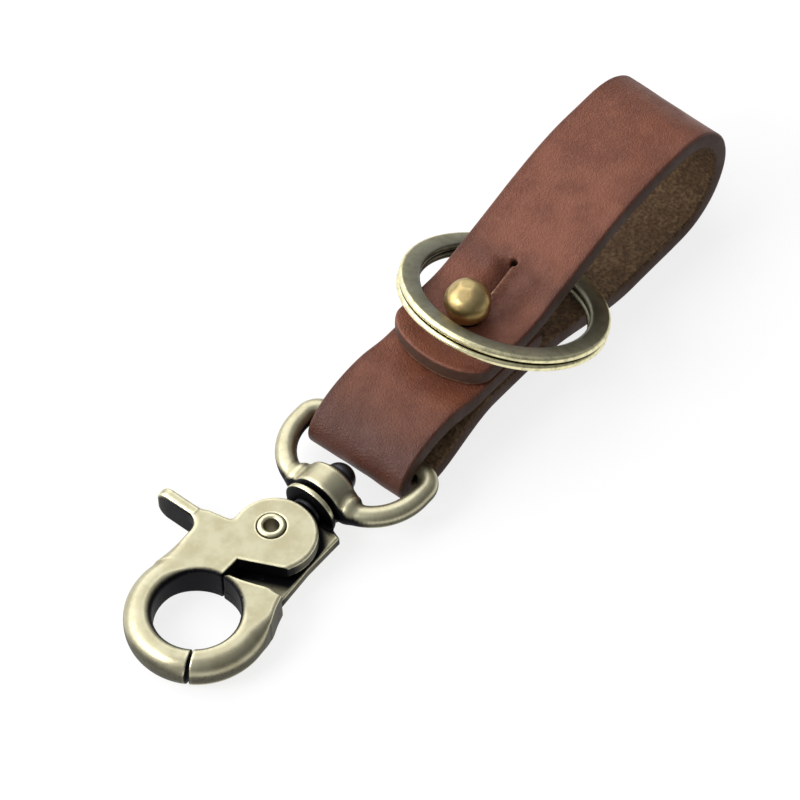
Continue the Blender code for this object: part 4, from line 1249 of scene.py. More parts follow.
    def half_opening(self, s: Array, holes: list[Hole], slit: Slit | None) -> Array:
        """Return how far the opening on the middle line reaches sideways at each s.

        A hole reaches sqrt(r r - (s - c)(s - c)) at s, and a slit its half width.

        Args:
            s: places along the strip.
            holes: the round holes.
            slit: the cut, if any.

        Returns:
            Half the width of the opening at each place.
        """
        half = np.zeros_like(s)
        for hole in holes:
            half = np.maximum(half, np.sqrt(np.maximum(hole.radius**2 - (s - hole.centre) ** 2, 0)))
        if slit is not None:
            half = np.maximum(half, np.where((s > slit.start) & (s < slit.end), slit.half, 0))
        half[half < 1e-4] = 0
        return half

    def rows(self, start: float, end: float, holes: list[Hole], slit: Slit | None) -> Array:
        """Return the places of the mesh's rows: even ones, and rows spaced by cosine at holes.

        Args:
            start: first place along the strip.
            end: last place.
            holes: the round holes.
            slit: the cut, if any.

        Returns:
            The places, in order.
        """
        exact = [np.array([start, end])]
        exact += [hole.centre + hole.radius * np.cos(np.linspace(0, np.pi, 19)) for hole in holes]
        exact = np.unique(np.round(np.concatenate(exact), 6))
        exact = exact[np.concatenate([[True], np.diff(exact) > 0.01])]
        even = np.arange(start, end, self.step)
        if slit is not None:
            even = np.concatenate([even, np.arange(slit.start, slit.end, 0.35)])
        far = np.abs(even[:, None] - exact[None]).min(1) > 0.12
        rows = np.unique(np.concatenate([exact, even[far]]))
        return rows[np.concatenate([[True], np.diff(rows) > 0.008])]

    def flat_sheet(self, start: float, end: float, holes: list[Hole], slit: Slit | None,
                   round_tip: bool) -> tuple[Array, Array, Array]:
        """Mesh the strip laid flat, as two halves that meet on the middle line.

        Columns run from the opening to the edge, close together at both. A rounded tip is a
        square's end carried to half an ellipse: s = L u sqrt(1 - v v / 2) and
        y = W v sqrt(1 - u u / 2) for u and v in 0..1.

        Args:
            start: first place along the strip.
            end: last place, where a tip's rounding starts if it has one.
            holes: round holes.
            slit: a cut on the middle line.
            round_tip: whether a rounded tip follows the end.

        Returns:
            s and y of each point, and quads that face the grain side or all face away from it.
        """
        s = self.rows(start, end, holes, slit)
        half = self.half_opening(s, holes, slit)
        close = np.array([0, 0.05, 0.12, 0.21, 0.32, 0.45, 0.65])
        columns = np.concatenate([close, np.arange(1.1, self.half_width - 0.9, 0.55),
                                  self.half_width - close[::-1]]) / self.half_width
        along = np.broadcast_to(s[:, None], (len(s), len(columns)))
        across = half[:, None] + (self.half_width - half)[:, None] * columns
        if round_tip:
            u = np.concatenate([np.arange(0.1, 0.88, 0.09),
                                1 - close[::-1] / self.tip_round])[:, None]
            along = np.concatenate([along, end + self.tip_round * u
                                    * np.sqrt(1 - columns**2 / 2)])
            across = np.concatenate([across, self.half_width * columns
                                     * np.sqrt(1 - u**2 / 2)])
            half = np.concatenate([half, np.zeros(len(u))])
        shape = along.shape
        right = np.arange(along.size).reshape(shape)
        left = right + along.size
        left[half == 0, 0] = right[half == 0, 0]
        quads = grid_faces(*shape)
        both = np.concatenate([quads, left.ravel()[quads][:, ::-1]])
        return (np.tile(along.ravel(), 2), np.concatenate([across.ravel(), -across.ravel()]), both)

    def solid_sheet(self, name: str, flat: tuple[Array, Array, Array], seams: tuple[float, ...],
                    relief: Callable[[Array, Array], tuple[Array, Array]]) -> bpy.types.Object:
        """Give a flat sheet its thickness, its rounded edges and its relief, and bend it.

        The grain side drops by r - sqrt(r r - (r - d)(r - d)) within r of an edge, where d is the
        distance to the edge. Walls join the two sides at every edge.

        Args:
            name: the piece's name.
            flat: s, y and quads of the sheet laid flat.
            seams: places along the strip where the sheet is only parted from its neighbour.
            relief: how far the grain and the flesh side stand out at s and y.

        Returns:
            The piece, with its strip coordinates kept as an attribute.
        """
        s, y, quads = flat
        count = len(s)
        tails, heads = quads.ravel(), np.roll(quads, -1, 1).ravel()
        key, back = tails * count + heads, heads * count + tails
        rim = ~np.isin(key, back)
        tails, heads = tails[rim], heads[rim]
        at_seam = np.zeros(len(tails), bool)
        for seam in seams:
            at_seam |= (np.abs(s[tails] - seam) < 1e-4) & (np.abs(s[heads] - seam) < 1e-4)
        place = np.stack([s, y], -1)
        first = place[tails[~at_seam]]
        side = place[heads[~at_seam]] - first
        nearest = np.full(count, 9.0)
        for chunk in np.array_split(np.arange(count), max(1, count // 2000)):
            offset = place[chunk, None] - first[None]
            share = np.clip((offset * side).sum(-1) / (side**2).sum(-1), 0, 1)
            nearest[chunk] = np.linalg.norm(offset - share[..., None] * side, axis=-1).min(1)
        drop = self.edge_round - np.sqrt(np.maximum(
            self.edge_round**2 - np.maximum(self.edge_round - nearest, 0) ** 2, 0))
        raised, swollen = relief(s, y)
        grain, flesh = drop, self.thickness - drop
        border, numbered = np.unique(np.concatenate([tails, heads]), return_inverse=True)
        layers = 5
        shares = (np.arange(1, layers + 1) / (layers + 1))[:, None]
        wall = grain[border] + (flesh - grain)[border] * shares
        belly = 4 * shares * (1 - shares)
        s_all = np.concatenate([s, s, np.tile(s[border], layers)])
        y_all = np.concatenate([y, y, np.tile(y[border], layers)])
        depth = np.concatenate([grain, flesh, wall.ravel()])
        lift = np.concatenate([raised, swollen,
                               (raised[border] * (1 - shares) + swollen[border] * shares).ravel()])
        bulge = np.concatenate([np.zeros(2 * count),
                                (0.1 * belly * np.sign(y[border])
                                 * (np.abs(y[border]) > 3)).ravel()])
        points = self.put(s_all, y_all + bulge, depth - lift)
        tail, head = numbered[:len(tails)], numbered[len(tails):]
        rings_tail = np.stack([tails] + [2 * count + k * len(border) + tail
                                         for k in range(layers)] + [tails + count])
        rings_head = np.stack([heads] + [2 * count + k * len(border) + head
                                         for k in range(layers)] + [heads + count])
        walls = np.stack([rings_head[:-1], rings_tail[:-1], rings_tail[1:], rings_head[1:]], -1)
        faces = outward(points, [np.concatenate([quads, quads[:, ::-1] + count,
                                                 walls.reshape(-1, 4)])])
        darkening_with_shade, torn = self.darkening_shade_and_tears(s_all, y_all)
        return mesh_piece(name, points, faces,
                          {"strip": np.stack([s_all, y_all, depth], -1), "darkening_and_shade": darkening_with_shade,
                           "torn": torn}, self.leather)

    def darkening_shade_and_tears(self, s: Array, y: Array) -> tuple[Array, Array]:
        """Return how far the leather is darkened and where its skin is torn.

        It is darker over the fold and along the edges; in the sunk side of the slit and across the
        slit's far end the darkening is painted shade. It is torn on the slit's raised lip, mostly
        beside the button.

        Args:
            s: places along the strip.
            y: places across it.

        Returns:
            How dark, painted shade included, and how torn the skin is, each in 0..1.
        """
        fold = np.mean(self.starts["fold"])
        past = self.along("tongue", 0.0) - s
        beside = smooth_step(past, 1.0, 3.0) * (1 - smooth_step(past, 10.6, 13.2))
        # Darker over the fold and edges; painted shade in the slit's sunk side and across its far
        # end.
        darkening_with_shade = (np.exp(-((s - fold) / 11) ** 2)
                 + 0.5 * smooth_step(np.abs(y), self.half_width - 1.6, self.half_width)
                 + 0.6 * beside * np.exp(-(y / 1.4) ** 2) * (y > 0)
                 + 0.5 * np.exp(-((past - self.slit_end_shade) / 3) ** 2))
        torn = beside * np.exp(-((y + 0.45) / 0.5) ** 2) * (1 - 0.75 * smooth_step(past, 5, 8))
        return np.clip(darkening_with_shade, 0, 1), torn

    def lower_relief(self, s: Array, y: Array) -> tuple[Array, Array]:
        """Return a slow unevenness on the grain side of the lap, fold and bottom run.

        Args:
            s: places along the strip.
            y: places across it.

        Returns:
            How far the grain side and the flesh side stand out.
        """
        uneven = (self.run_slow_wave * (ripple(s, y, 5, 19) - 1)
                  + self.run_short_wave * (ripple(s, y, 6, 6) - 1))
        calm = 1 - np.exp(-((s - self.along("run", self.seam)) / 4) ** 2)
        return uneven * calm, self.short_wave * ripple(s, y, 7, 9) * calm

    def upper_relief(self, s: Array, y: Array) -> tuple[Array, Array]:
        """Return the tongue's relief.

        Beside the slit the strip has sunk on one side and its lip stands up on the other, both
        bell-shaped across and fading out towards the button and the slit's end. Creases fan out
        round it, and the rest is slow unevenness.

        Args:
            s: places along the strip.
            y: places across it.

        Returns:
            How far the grain side and the flesh side stand out.
        """
        past = self.along("tongue", 0.0) - s
        beside = smooth_step(past, 1.5, 5.5) * (1 - smooth_step(past, 10.6, 13.2))
        sunk = (-self.sunk_depth * np.exp(-(y / 2.3) ** 2) * (y > 0)
                * (0.45 + 0.55 * smooth_step(past, 4.0, 9.5)))
        lip = self.lip_height * np.exp(-(y / 1.5) ** 2) * (y <= 0)
        shoulder = self.shoulder_height * np.exp(-((y + 4.2) / 1.6) ** 2)
        creased = smooth_step(past, 2.0, 6.0) * (1 - smooth_step(past, 13, 21))
        creases = (self.crease_height * ripple(s, y * 0.6, 11, 4.2) * creased
                   * np.exp(-((np.abs(y) - 3.5) / 3) ** 2))
        uneven = (self.slow_wave * (ripple(s, y, 8, 21) - 1)
                  + self.short_wave * (ripple(s, y, 9, 7) - 1))
        calm = 1 - np.exp(-((s - self.along("run", self.seam)) / 4) ** 2)
        near_ball = np.exp(-((past / 5) ** 2 + (y / 5) ** 2))
        raised = beside * (sunk + lip + shoulder) + creases + uneven * calm * (1 - near_ball)
        swollen = self.short_wave * ripple(s, y, 10, 9) * calm
        return raised, swollen - 0.25 * np.maximum(-raised, 0)

    def build(self) -> list[bpy.types.Object]:
        """Build the strip's two lengths, fix the lower one to the strap and bake the upper one in
        place.

        Returns:
            The pieces.
        """
        parting = self.along("run", self.seam)
        lap_hole = Hole(self.along("lap", 0.0), 4.5)
        screw_hole = Hole(self.along("stack", 0.0), 4.3)
        lower = self.solid_sheet(
            "strap_lower", self.flat_sheet(0.0, parting, [lap_hole, screw_hole], None, False),
            (parting,), self.lower_relief)
        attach(lower, "strap_body")
        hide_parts("strap")
        button = self.along("tongue", 0.0)
        slit_far = self.along("slope", self.slit_end)
        tip = self.starts["tongue"][1] - self.tip_round - 0.02
        upper = self.solid_sheet(
            "strap_upper",
            self.flat_sheet(parting, tip,
                            [Hole(button, self.button_hole), Hole(slit_far, self.slit_hole)],
                            Slit(slit_far, button, self.slit_half), True),
            (parting,), self.upper_relief)
        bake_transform(upper)
        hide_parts("strap_tongue")
        return [lower, upper]


# Stud

@dataclass
class ButtonStud:
    """The ball stud that holds the strip's layers, and its screw below."""

    places: Places
    ball_brass: bpy.types.Material
    brass: bpy.types.Material
    ball: float = 4.0
    ball_height: float = BALL_HEIGHT
    neck: float = 2.0
    flange: float = 4.2
    flange_thick: float = 0.9
    flange_top: float = 12.3
    post: float = 2.3
    bore: float = 1.6
    post_end: float = 6.3
    bore_end: float = 10.6
    flats: int = 16
    flat_share: float = 0.95
    flat_power: int = 90

    def profile(self) -> Array:
        """Return the stud's half section: ball, neck, flange, post and bore.

        Returns:
            Radius and height of each point, from pole to pole.
        """
        low = -90 + math.degrees(math.asin(self.neck / self.ball))
        ball = arc(0, self.ball_height, self.ball, 90, low, 44)
        ball[0, 0] = 0
        top, under = self.flange_top, self.flange_top - self.flange_thick
        rest = np.array([[self.neck, top + 0.4], [self.neck + 0.12, top + 0.12],
                         [self.neck + 0.4, top], [self.flange - 0.25, top],
                         [self.flange - 0.07, top - 0.07], [self.flange, top - 0.25],
                         [self.flange, under], [self.post, under], [self.post, self.post_end],
                         [self.bore, self.post_end], [self.bore, self.bore_end],
                         [0, self.bore_end]])
        return np.concatenate([ball, rest])

    def facets(self, points: Array) -> Array:
        """Flatten the ball slightly in seeded directions, as a tumbled casting is.

        A point in direction d keeps the radius min(1, 0.95 / (n . d)) over the flats' normals n,
        and the edges between flats are softened by a power mean.

        Args:
            points: the turned stud, (n, 3).

        Returns:
            The points, the ball flattened.
        """
        centre = np.array([0, 0, self.ball_height])
        offset = points - centre
        size = np.linalg.norm(offset, axis=1)
        on_ball = (np.abs(size - self.ball) < 1e-3) & (offset[:, 2] > -self.ball * 0.8)
        rng = np.random.default_rng(4)
        flats = rng.normal(size=(self.flats, 3))
        flats /= np.linalg.norm(flats, axis=1, keepdims=True)
        facing = (offset[on_ball] / self.ball) @ flats.T
        steep = np.maximum(facing, 0.05) / self.flat_share
        limit = 1 / (1 + (steep**self.flat_power).sum(1)) ** (1 / self.flat_power)
        points = points.copy()
        points[on_ball] = centre + offset[on_ball] * limit[:, None]
        return points

    def build(self) -> list[bpy.types.Object]:
        """Build the stud and give the screw its finish.

        Returns:
            The pieces.
        """
        points, faces = turned(self.profile(), 96)
        points = self.facets(points)
        # The ball is darkened below its middle as painted shade and lightened over its top as a
        # painted highlight.
        height = points[:, 2]
        under = smooth_step(self.ball_height - height, 1.7, 3.6)
        crest = 0.35 * smooth_step(height, self.ball_height, self.ball_height + 3.4)
        stud = mesh_piece("button_stud", points + self.places.stud, faces,
                          {"crest": crest, "patina_and_shade": under * 0.9}, self.ball_brass)
        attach(stud, "strap_body")
        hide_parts("stud_ball")
        screw = frame["nodes"]["stud_screw"]
        screw.data.materials.clear()
        screw.data.materials.append(self.brass)
        return [stud]


# Split ring

@dataclass
class SplitRing:
    """The key ring: one flat strip wound twice, stepping down between its two ends."""

    places: Places
    brass: bpy.types.Material
    radius: float = 18.0
    wide: float = 3.6
    thick: float = 1.3
    gap: float = 0.2
    edge: float = 0.62
    tilt: float = math.radians(24.069)
    ends_turn: float = math.radians(30)
    step_half: float = math.radians(15)
    end_angle: float = math.radians(21)
    steps: int = 560

    def build(self) -> list[bpy.types.Object]:
        """Build the ring.

        The middle line is (r cos a, r sin a, h) for a over two turns, where h falls from half the
        pitch to minus half of it by a smooth step about the end of the first turn. The strip's
        outer edges are lightened, partly as edge wear and partly as painted highlight, and the
        faces between its coils and its inner edge are darkened as painted shade.

        Returns:
            The pieces.
        """
        middle = self.radius - self.wide / 2
        pitch = self.thick + self.gap
        angle = np.linspace(self.end_angle, 4 * np.pi - self.end_angle, self.steps)
        height = pitch * (0.5 - smooth_step(angle, 2 * np.pi - self.step_half,
                                            2 * np.pi + self.step_half))
        around = angle + self.ends_turn
        lean = np.array([math.cos(self.tilt), 0.0, -math.sin(self.tilt)])
        across = np.array([0.0, 1.0, 0.0])
        upright = np.array([math.sin(self.tilt), 0.0, math.cos(self.tilt)])
        centre = (self.places.ring_edge - self.radius * lean
                  + (self.thick + self.gap / 2) * upright)
        out = np.cos(around)[:, None] * lean + np.sin(around)[:, None] * across
        path = centre + middle * out + height[:, None] * upright
        section = rounded_section(self.wide, self.thick, self.edge)
        taper = 1 - 0.12 * np.exp(-np.minimum(angle - angle[0], angle[-1] - angle)[:, None, None]
                                  / 0.012)
        points, faces = swept(path, out, np.broadcast_to(upright, path.shape), section * taper)
        lateral = np.tile(section[:, 0] / (self.wide / 2), len(path))
        rise = np.tile(section[:, 1] / (self.thick / 2), len(path))
        level = np.repeat(height / (pitch / 2), len(section))
        # Outer edges lightened as edge wear and painted highlight; coil faces and inner edge
        # darkened as painted shade.
        crest = smooth_step(lateral, 0.5, 0.95) + 0.25 * smooth_step(-lateral, 0.85, 1.0)
        facing_gap = smooth_step(-rise * level, 0.75, 1.0)
        patina_and_shade = 0.7 * facing_gap + 0.5 * smooth_step(-lateral, 0.8, 1.0)
        ring = mesh_piece("split_ring_coil", points, faces,
                          {"crest": crest * (1 - facing_gap), "patina_and_shade": np.clip(patina_and_shade, 0, 1)},
                          self.brass)
        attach(ring, "ring")
        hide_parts("split_ring")
        return [ring]


# Swivel snap

def snap_places(points: Array | list) -> Array:
    """Turn (distance past the collar, side) into X, which runs away from the hook, and Y."""
    return np.array(points) * [-1, 1]


@dataclass
class SwivelSnap:
    """The swivel eye, the snap's frame and trigger, and the small turned parts between them."""

    places: Places
    brass: bpy.types.Material
    dark_steel: bpy.types.Material
    spring_steel: bpy.types.Material
    cell: float = 0.17
    wire: float = 1.8
    eye_half: float = 12.5
    bar: float = 12.4
    collar: float = 4.9
    collar_half: float = 2.4
    rivet: float = 1.7
    half: float = 3.2
    plate_top: float = -1.0
    plate_half_width: float = 6.9
    lever_under: float = 0.3
    hook: float = 31.3
    hook_side: float = 0.5
    hook_outer: float = 12.1
    hook_inner: float = 7.2
    gate_angle: float = -36.0
    gate_lean: float = 5.0
    gate_inner: float = 7.6
    gate_gap: float = 0.5
    sharp: float = 0.7
    soft: float = 2.9
    flange: float = 5.0
    flange_middle: float = 3.8
    flange_half: float = 0.5
    pocket: float = 3.9
    pivot: float = 12.0
    pivot_side: float = 1.25
    disc: float = 7.2
    disc_centre: float = 12.85
    eyelet: float = 1.75
    eyelet_bore: float = 1.25
    eyelet_head: float = 2.35
    coil: float = 3.0
    coil_wire: float = 0.3
    coil_turns: float = 2.5
    coil_pitch: float = 1.05
    play: float = 0.3
    hole_shift: float = 0.3

    def gate(self, radius: float) -> float:
        """Return the slanting gate's angle at a distance from the hook's middle, in degrees."""
        return self.gate_angle + self.gate_lean * (radius - self.gate_inner) / (
            self.hook_outer - self.gate_inner)

    def hook_arc(self, radius: float, start: float, end: float, count: int = 30) -> Array:
        """Return an arc about the hook's middle, as distances past the collar and sides."""
        return arc(self.hook, self.hook_side, radius, start, end, count)

    def edge_radius(self, low: float, high: float) -> Callable[[Array], Array]:
        """Return the castings' edge radius: small up to one distance, wide from the other on."""
        return lambda x: self.sharp + (self.soft - self.sharp) * smooth_step(-x, low, high)

    def hole(self) -> Field:
        """Return the hook's hole, a little further out than the hook's middle."""
        return self.cylinder(self.hook + self.hole_shift, self.hook_side, self.hook_inner)

    def hole_side(self) -> Field:
        """Return all that lies round the hook's hole, the edge growing round along the hook.

        Returns:
            The signed distance.
        """
        hole = self.hole()
        return slab(lambda x, y, z: -hole(x, y, z), -self.half, self.half,
                    lambda x: 0.35 + 1.25 * smooth_step(-x, 24.0, 30.5))

    def cylinder(self, distance: float, side: float, radius: float) -> Field:
        """Return an endless round bar along Z."""
        return rod(2, (-distance, side, 0), radius, 99.0, 0.0)

    def eye(self) -> Field:
        """Return the swivel eye: a round wire bent to a loop, its shoulders and its collar.

        Returns:
            The signed distance.
        """
        back, front, half = 2.6, 9.3, self.eye_half
        corners = (arc(self.bar - back, back - half, back, -90, 0, 12),
                   arc(self.bar - back, half - back, back, 0, 90, 12),
                   arc(front - 1.1, half - front, front, 90, 180, 24),
                   arc(front - 1.1, front - half, front, 180, 270, 24))
        loop = wire_loop(np.concatenate(corners), self.wire)
        shoulders = rod(1, (0, 0, 0), 2.35, 6.0, 0.8)
        collar = rod(0, (0, 0, 0), self.collar, self.collar_half, 0.75)
        body = joined(joined(loop, shoulders, 1.4), collar, 0.7)
        return without(body, rod(0, (0, 0, 0), self.rivet + self.play, 6.0, 0.0), 0.3)

    def snap_frame(self) -> Field:
        """Return the snap's frame: end flange, back plate and fixed jaw.

        The jaw is the lower part of the hook's ring joined to a flat pointed tip. Its edges are
        sharp at the tip and grow round towards the gate.

        Returns:
            The signed distance.
        """
        slack = math.degrees(self.gate_gap / self.hook_outer)
        side = self.pivot_side
        tip = np.array([[21.1, -8.6], [21.2, -6.4], [22.1, -4.0], [22.9, -1.6], [23.4, 0.5],
                        [23.9, 1.0], [24.9, 1.0]])
        region = np.concatenate([self.hook_arc(5.5, -177, self.gate(5.5) - slack),
                                 self.hook_arc(13.6, self.gate(13.6) - slack, -128), tip])
        body = np.concatenate([tip, [[29.0, -1.0], [31.0, -8.0], [26.0, -10.1]]])
        outer = joined(self.cylinder(self.hook, self.hook_side, self.hook_outer),
                       prism(snap_places(body)), 0.8)
        jaw = common(slab(outer, -self.half, self.half, self.edge_radius(24.5, 30.0)),
                     prism(snap_places(region)), 0.3)
        jaw = common(jaw, self.hole_side(), 0.25)
        start = self.flange_middle + self.flange_half - 0.35
        width = self.plate_half_width
        outline = np.concatenate([
            [[start, 4.0], [start + 2.4, 5.4]],
            arc(self.disc_centre, 0, width, 118, 22, 18),
            [[20.9, 3.0], [21.0, 1.0], [24.0, 1.0], [self.pivot + 12.1, side - 4.0],
             [22.4, side - 8.9], [self.disc_centre, -width], [start + 1, -width],
             [start, -4.0]]])
        back = plate(snap_places(outline), -self.half, self.plate_top, 0.45)
        flange_place = (-self.flange_middle, 0, 0)
        flange = rod(0, flange_place, self.flange, self.flange_half, 0.35)
        back = without(back, self.hole(), 0.3)
        body = joined(joined(jaw, back, 1.0), flange, 0.8)
        head = self.eyelet_head + self.play
        for tool in (rod(0, flange_place, self.rivet + self.play, 2.0, 0.0),
                     rod(0, (-4.9, 0, 0), 2.9, 0.6, 0.2),
                     rod(2, (-self.pivot, side, 0.5), self.pocket, 2.76, 0.1),
                     self.cylinder(self.pivot, side, self.eyelet + self.play),
                     rod(2, (-self.pivot, side, -self.half - 0.4), head, 1.0, 0.0)):
            body = without(body, tool, 0.2)
        return body

    def trigger(self) -> Field:
        """Return the trigger: disc, web, thumb tab and moving jaw.

        All parts share one outline, a smooth union of the disc, the web, the tab's foot and the
        hook's ring, so the front face runs on without a step. Its edge is nearly sharp on the
        disc and grows to a wide round on the arch.

        Returns:
            The signed distance.
        """
        side = self.pivot_side
        notch, top = side + 0.15, side + 9.4
        near, far, end = self.pivot + 4.3, self.pivot + 6.3, side + 19.2
        web = [[12.0, -4.0], [16.9, -5.9], [20.3, notch], [24.5, notch], [29.0, 9.0],
               [27.9, 12.0], [far, top + 0.3], [near, top], [14.5, 5.5]]
        foot = [[near, 5.0], [far, 5.0], [far, end], [near, end]]
        outer = self.cylinder(self.disc_centre, 0, self.disc)
        for more, fillet in ((prism(snap_places(web)), 1.0),
                             (self.cylinder(self.hook, self.hook_side, self.hook_outer), 1.6),
                             (prism(snap_places(foot)), 3.0)):
            outer = joined(outer, more, fillet)
        edge = self.edge_radius(19.5, 28.0)
        arch_region = np.concatenate([self.hook_arc(13.6, self.gate(13.6), 150),
                                      [[21.4, 8.0], [21.4, notch], [25.2, notch]],
                                      self.hook_arc(5.5, 171, self.gate(5.5))])
        front_region = [[4.0, -9.0], [16.4, -9.0], [16.9, -5.9], [20.3, notch], [25.2, notch],
                        [27.0, 16.0], [14.0, 16.0], [13.0, 9.0], [4.0, 9.0]]
        arch = common(slab(outer, -self.half, self.half, edge),
                      prism(snap_places(arch_region)), 0.4)
        front = common(slab(outer, self.lever_under, self.half, edge),
                       prism(snap_places(front_region)), 0.4)
        high = self.half
        upright = plate(np.concatenate([
            [[9.4, 1.8], [9.4, -high]],
            arc(16.9, 2.3 - high, 2.3, -90, 0, 12), arc(16.9, high - 2.3, 2.3, 0, 90, 12),
            [[11.4, high]]]), -1.0, 1.0, 0.6)
        middle = -(near + far) / 2
        tab = common(lambda x, y, z: upright(y - side, z + 0 * x, x - middle),
                     lambda x, y, z: 8.9 - y + 0 * x + 0 * z, 0.1)
        body = joined(common(joined(arch, front, 0.01), self.hole_side(), 0.25), tab, 0.02)
        head = self.eyelet_head + 0.1
        for tool in (rod(2, (-self.pivot, side, 0.28), self.pocket, 1.28, 0.1),
                     self.cylinder(self.pivot, side, self.eyelet + self.play),
                     rod(2, (-self.pivot, side, self.half + 0.4), head, 0.8, 0.0)):
            body = without(body, tool, 0.2)
        return body

    def casting(self, name: str, solid: Field, near: Field, low: tuple, high: tuple,
                body: str, node: str) -> bpy.types.Object:
        """Skin a casting, measure its crests and recesses, and fix it to its body.

        The wall of the hook's hole is darkened as painted shade, fading out over its rounded edge.

        Args:
            name: the piece's name.
            solid: the casting's distance.
            near: the distance to all that can shade it.
            low: lowest corner of the grid it is skinned on.
            high: highest corner of that grid.
            body: the body it moves with.
            node: the CAD node it stands for.

        Returns:
            The piece.
        """
        points, quads = skinned(solid, np.array(low, float), np.array(high, float), self.cell)
        values = crest_and_recess(points, solid, near)
        # Painted shade on the wall of the hook's hole.
        hole = self.hole()(*points.T)
        values["patina_and_shade"] = np.maximum(values["patina_and_shade"], 0.85 * (1 - smooth_step(hole, 0.1, 1.3)))
        piece = mesh_piece(name, self.places.from_snap(points), [quads], values, self.brass)
        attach(piece, body)
        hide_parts(node)
        return piece

    def along_snap(self, points: Array) -> Array:
        """Lay a turned piece along the snap, its Z towards the hook, and carry it in place."""
        return self.places.from_snap(np.stack([-points[:, 2], points[:, 1], points[:, 0]], -1))

    def swivel_rivet(self) -> bpy.types.Object:
        """Build the pin: inner head, shank, washer and dome, as one turned shape.

        Returns:
            The piece.
        """
        end = -self.collar_half - self.play
        dome = end - 0.8
        profile = np.concatenate([
            [[0, 5.2], [2.45, 5.2], [2.6, 5.05], [2.6, 4.6], [self.rivet, 4.6], [self.rivet, end],
             [2.95, end], [3.1, end - 0.15], [3.1, dome + 0.15], [2.95, dome], [2.75, dome]],
            arc(0, dome, 2.7, 0, -90, 24)])
        profile[-24:, 1] = dome + (profile[-24:, 1] - dome) * 2.5 / 2.7
        profile[-1, 0] = 0
        points, faces = turned(profile, 72)
        # Lighter towards the dome's top; darkened everywhere but the dome, as painted shade.
        crest = 0.4 * smooth_step(-points[:, 2], -dome + 0.6, -dome + 2.4)
        piece = mesh_piece("swivel_pin", self.along_snap(points), faces,
                           {"crest": crest, "patina_and_shade": 0.5 * smooth_step(points[:, 2], dome - 0.4,
                                                                        dome + 0.2)},
                           self.dark_steel)
        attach(piece, "hook")
        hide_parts("swivel_rivet")
        return piece

    def pivot_eyelet(self) -> bpy.types.Object:
        """Build the hollow rivet: a tube with a full-round rim at each end.

        Returns:
            The piece.
        """
        top, rim = self.half + 0.35, (self.eyelet_head - self.eyelet_bore) / 2
        middle = (self.eyelet_head + self.eyelet_bore) / 2
        upper = np.concatenate([
            arc(middle, top - rim * 0.8, rim, 180, 0, 22),
            [[self.eyelet_head - 0.1, top - 0.62], [self.eyelet, top - 0.65]]])
        upper[:22, 1] = top - rim * 0.8 + (upper[:22, 1] - top + rim * 0.8) * 0.8
        profile = np.concatenate([upper, upper[::-1] * [1, -1]])
        points, faces = turned(profile, 72, closed=True)
        radius = np.hypot(points[:, 0], points[:, 1])
        height = np.abs(points[:, 2])
        # Lighter on the rims' tops; darkened inside the bore as painted shade.
        crest = smooth_step(height, top - 0.35, top) * 0.8
        patina_and_shade = smooth_step(-height, -top + 0.15, -top + 0.9) * (radius < self.eyelet)
        place = points + [-self.pivot, self.pivot_side, 0]
        piece = mesh_piece("lever_eyelet", self.places.from_snap(place), faces,
                           {"crest": crest, "patina_and_shade": patina_and_shade}, self.brass)
        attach(piece, "hook")
        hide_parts("pivot_eyelet")
        return piece

    def trigger_spring(self) -> bpy.types.Object:
        """Build the torsion spring: a helix whose ends curl in towards the eyelet.

        Returns:
            The piece.
        """
        turn = np.linspace(0, 2 * np.pi * self.coil_turns, 200)
        share = turn / turn[-1]
        curl = 0.55 * (np.exp(-turn / 0.35) + np.exp(-(turn[-1] - turn) / 0.35))
        radius = self.coil - curl
        middle = (self.lever_under + self.plate_top) / 2
        height = middle + self.coil_turns * self.coil_pitch * (share - 0.5)
        path = np.stack([radius * np.cos(turn), radius * np.sin(turn), height], -1)
        tangent = np.gradient(path, axis=0)
        tangent /= np.linalg.norm(tangent, axis=1, keepdims=True)
        out = np.cross(tangent, [0.0, 0.0, 1.0])
        out /= np.linalg.norm(out, axis=1, keepdims=True)
        angle = np.arange(12) * np.pi / 6
        ring = self.coil_wire * np.stack([np.cos(angle), np.sin(angle)], -1)
        points, faces = swept(path, out, np.cross(out, tangent), ring)
        points += [-self.pivot, self.pivot_side, 0]
        piece = mesh_piece("lever_spring", self.places.from_snap(points), faces,
                           material=self.spring_steel)
        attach(piece, "hook")
        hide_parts("trigger_spring")
        return piece

    def build(self) -> list[bpy.types.Object]:
        """Build the eye, the two castings and the small parts.

        Returns:
            The pieces.
        """
        eye, body, lever = self.eye(), self.snap_frame(), self.trigger()
        everything = joined(joined(eye, body, 1e-6), lever, 1e-6)
        return [
            self.casting("swivel_loop", eye, everything, (-6.5, -14.8, -5.3), (14.8, 14.8, 5.3),
                         "eye", "swivel_eye"),
            self.casting("snap_body", body, everything, (-44, -12.2, -5.3), (-2.8, 7.5, 5.3),
                         "hook", "snap_frame"),
            self.casting("trigger", lever, everything, (-44, -8.0, -3.7), (-5.2, 21.2, 3.7),
                         "trigger", "trigger_lever"),
            self.swivel_rivet(), self.pivot_eyelet(), self.trigger_spring()]


# Stage

@dataclass(frozen=True)
class Lamp:
    """A square soft lamp: how far it stands along five directions, its width and its watts."""

    name: str
    mirror: float
    overhead: float
    towards: float
    left: float
    upward: float
    width: float
    power: float


LAMPS = (Lamp("key", 760, 0, 0, 430, 0, 1200, 7.0), Lamp("side", 0, 260, 0, 700, 0, 460, 1.9),
         Lamp("fill", 0, 0, 420, 420, 60, 240, 1.7))


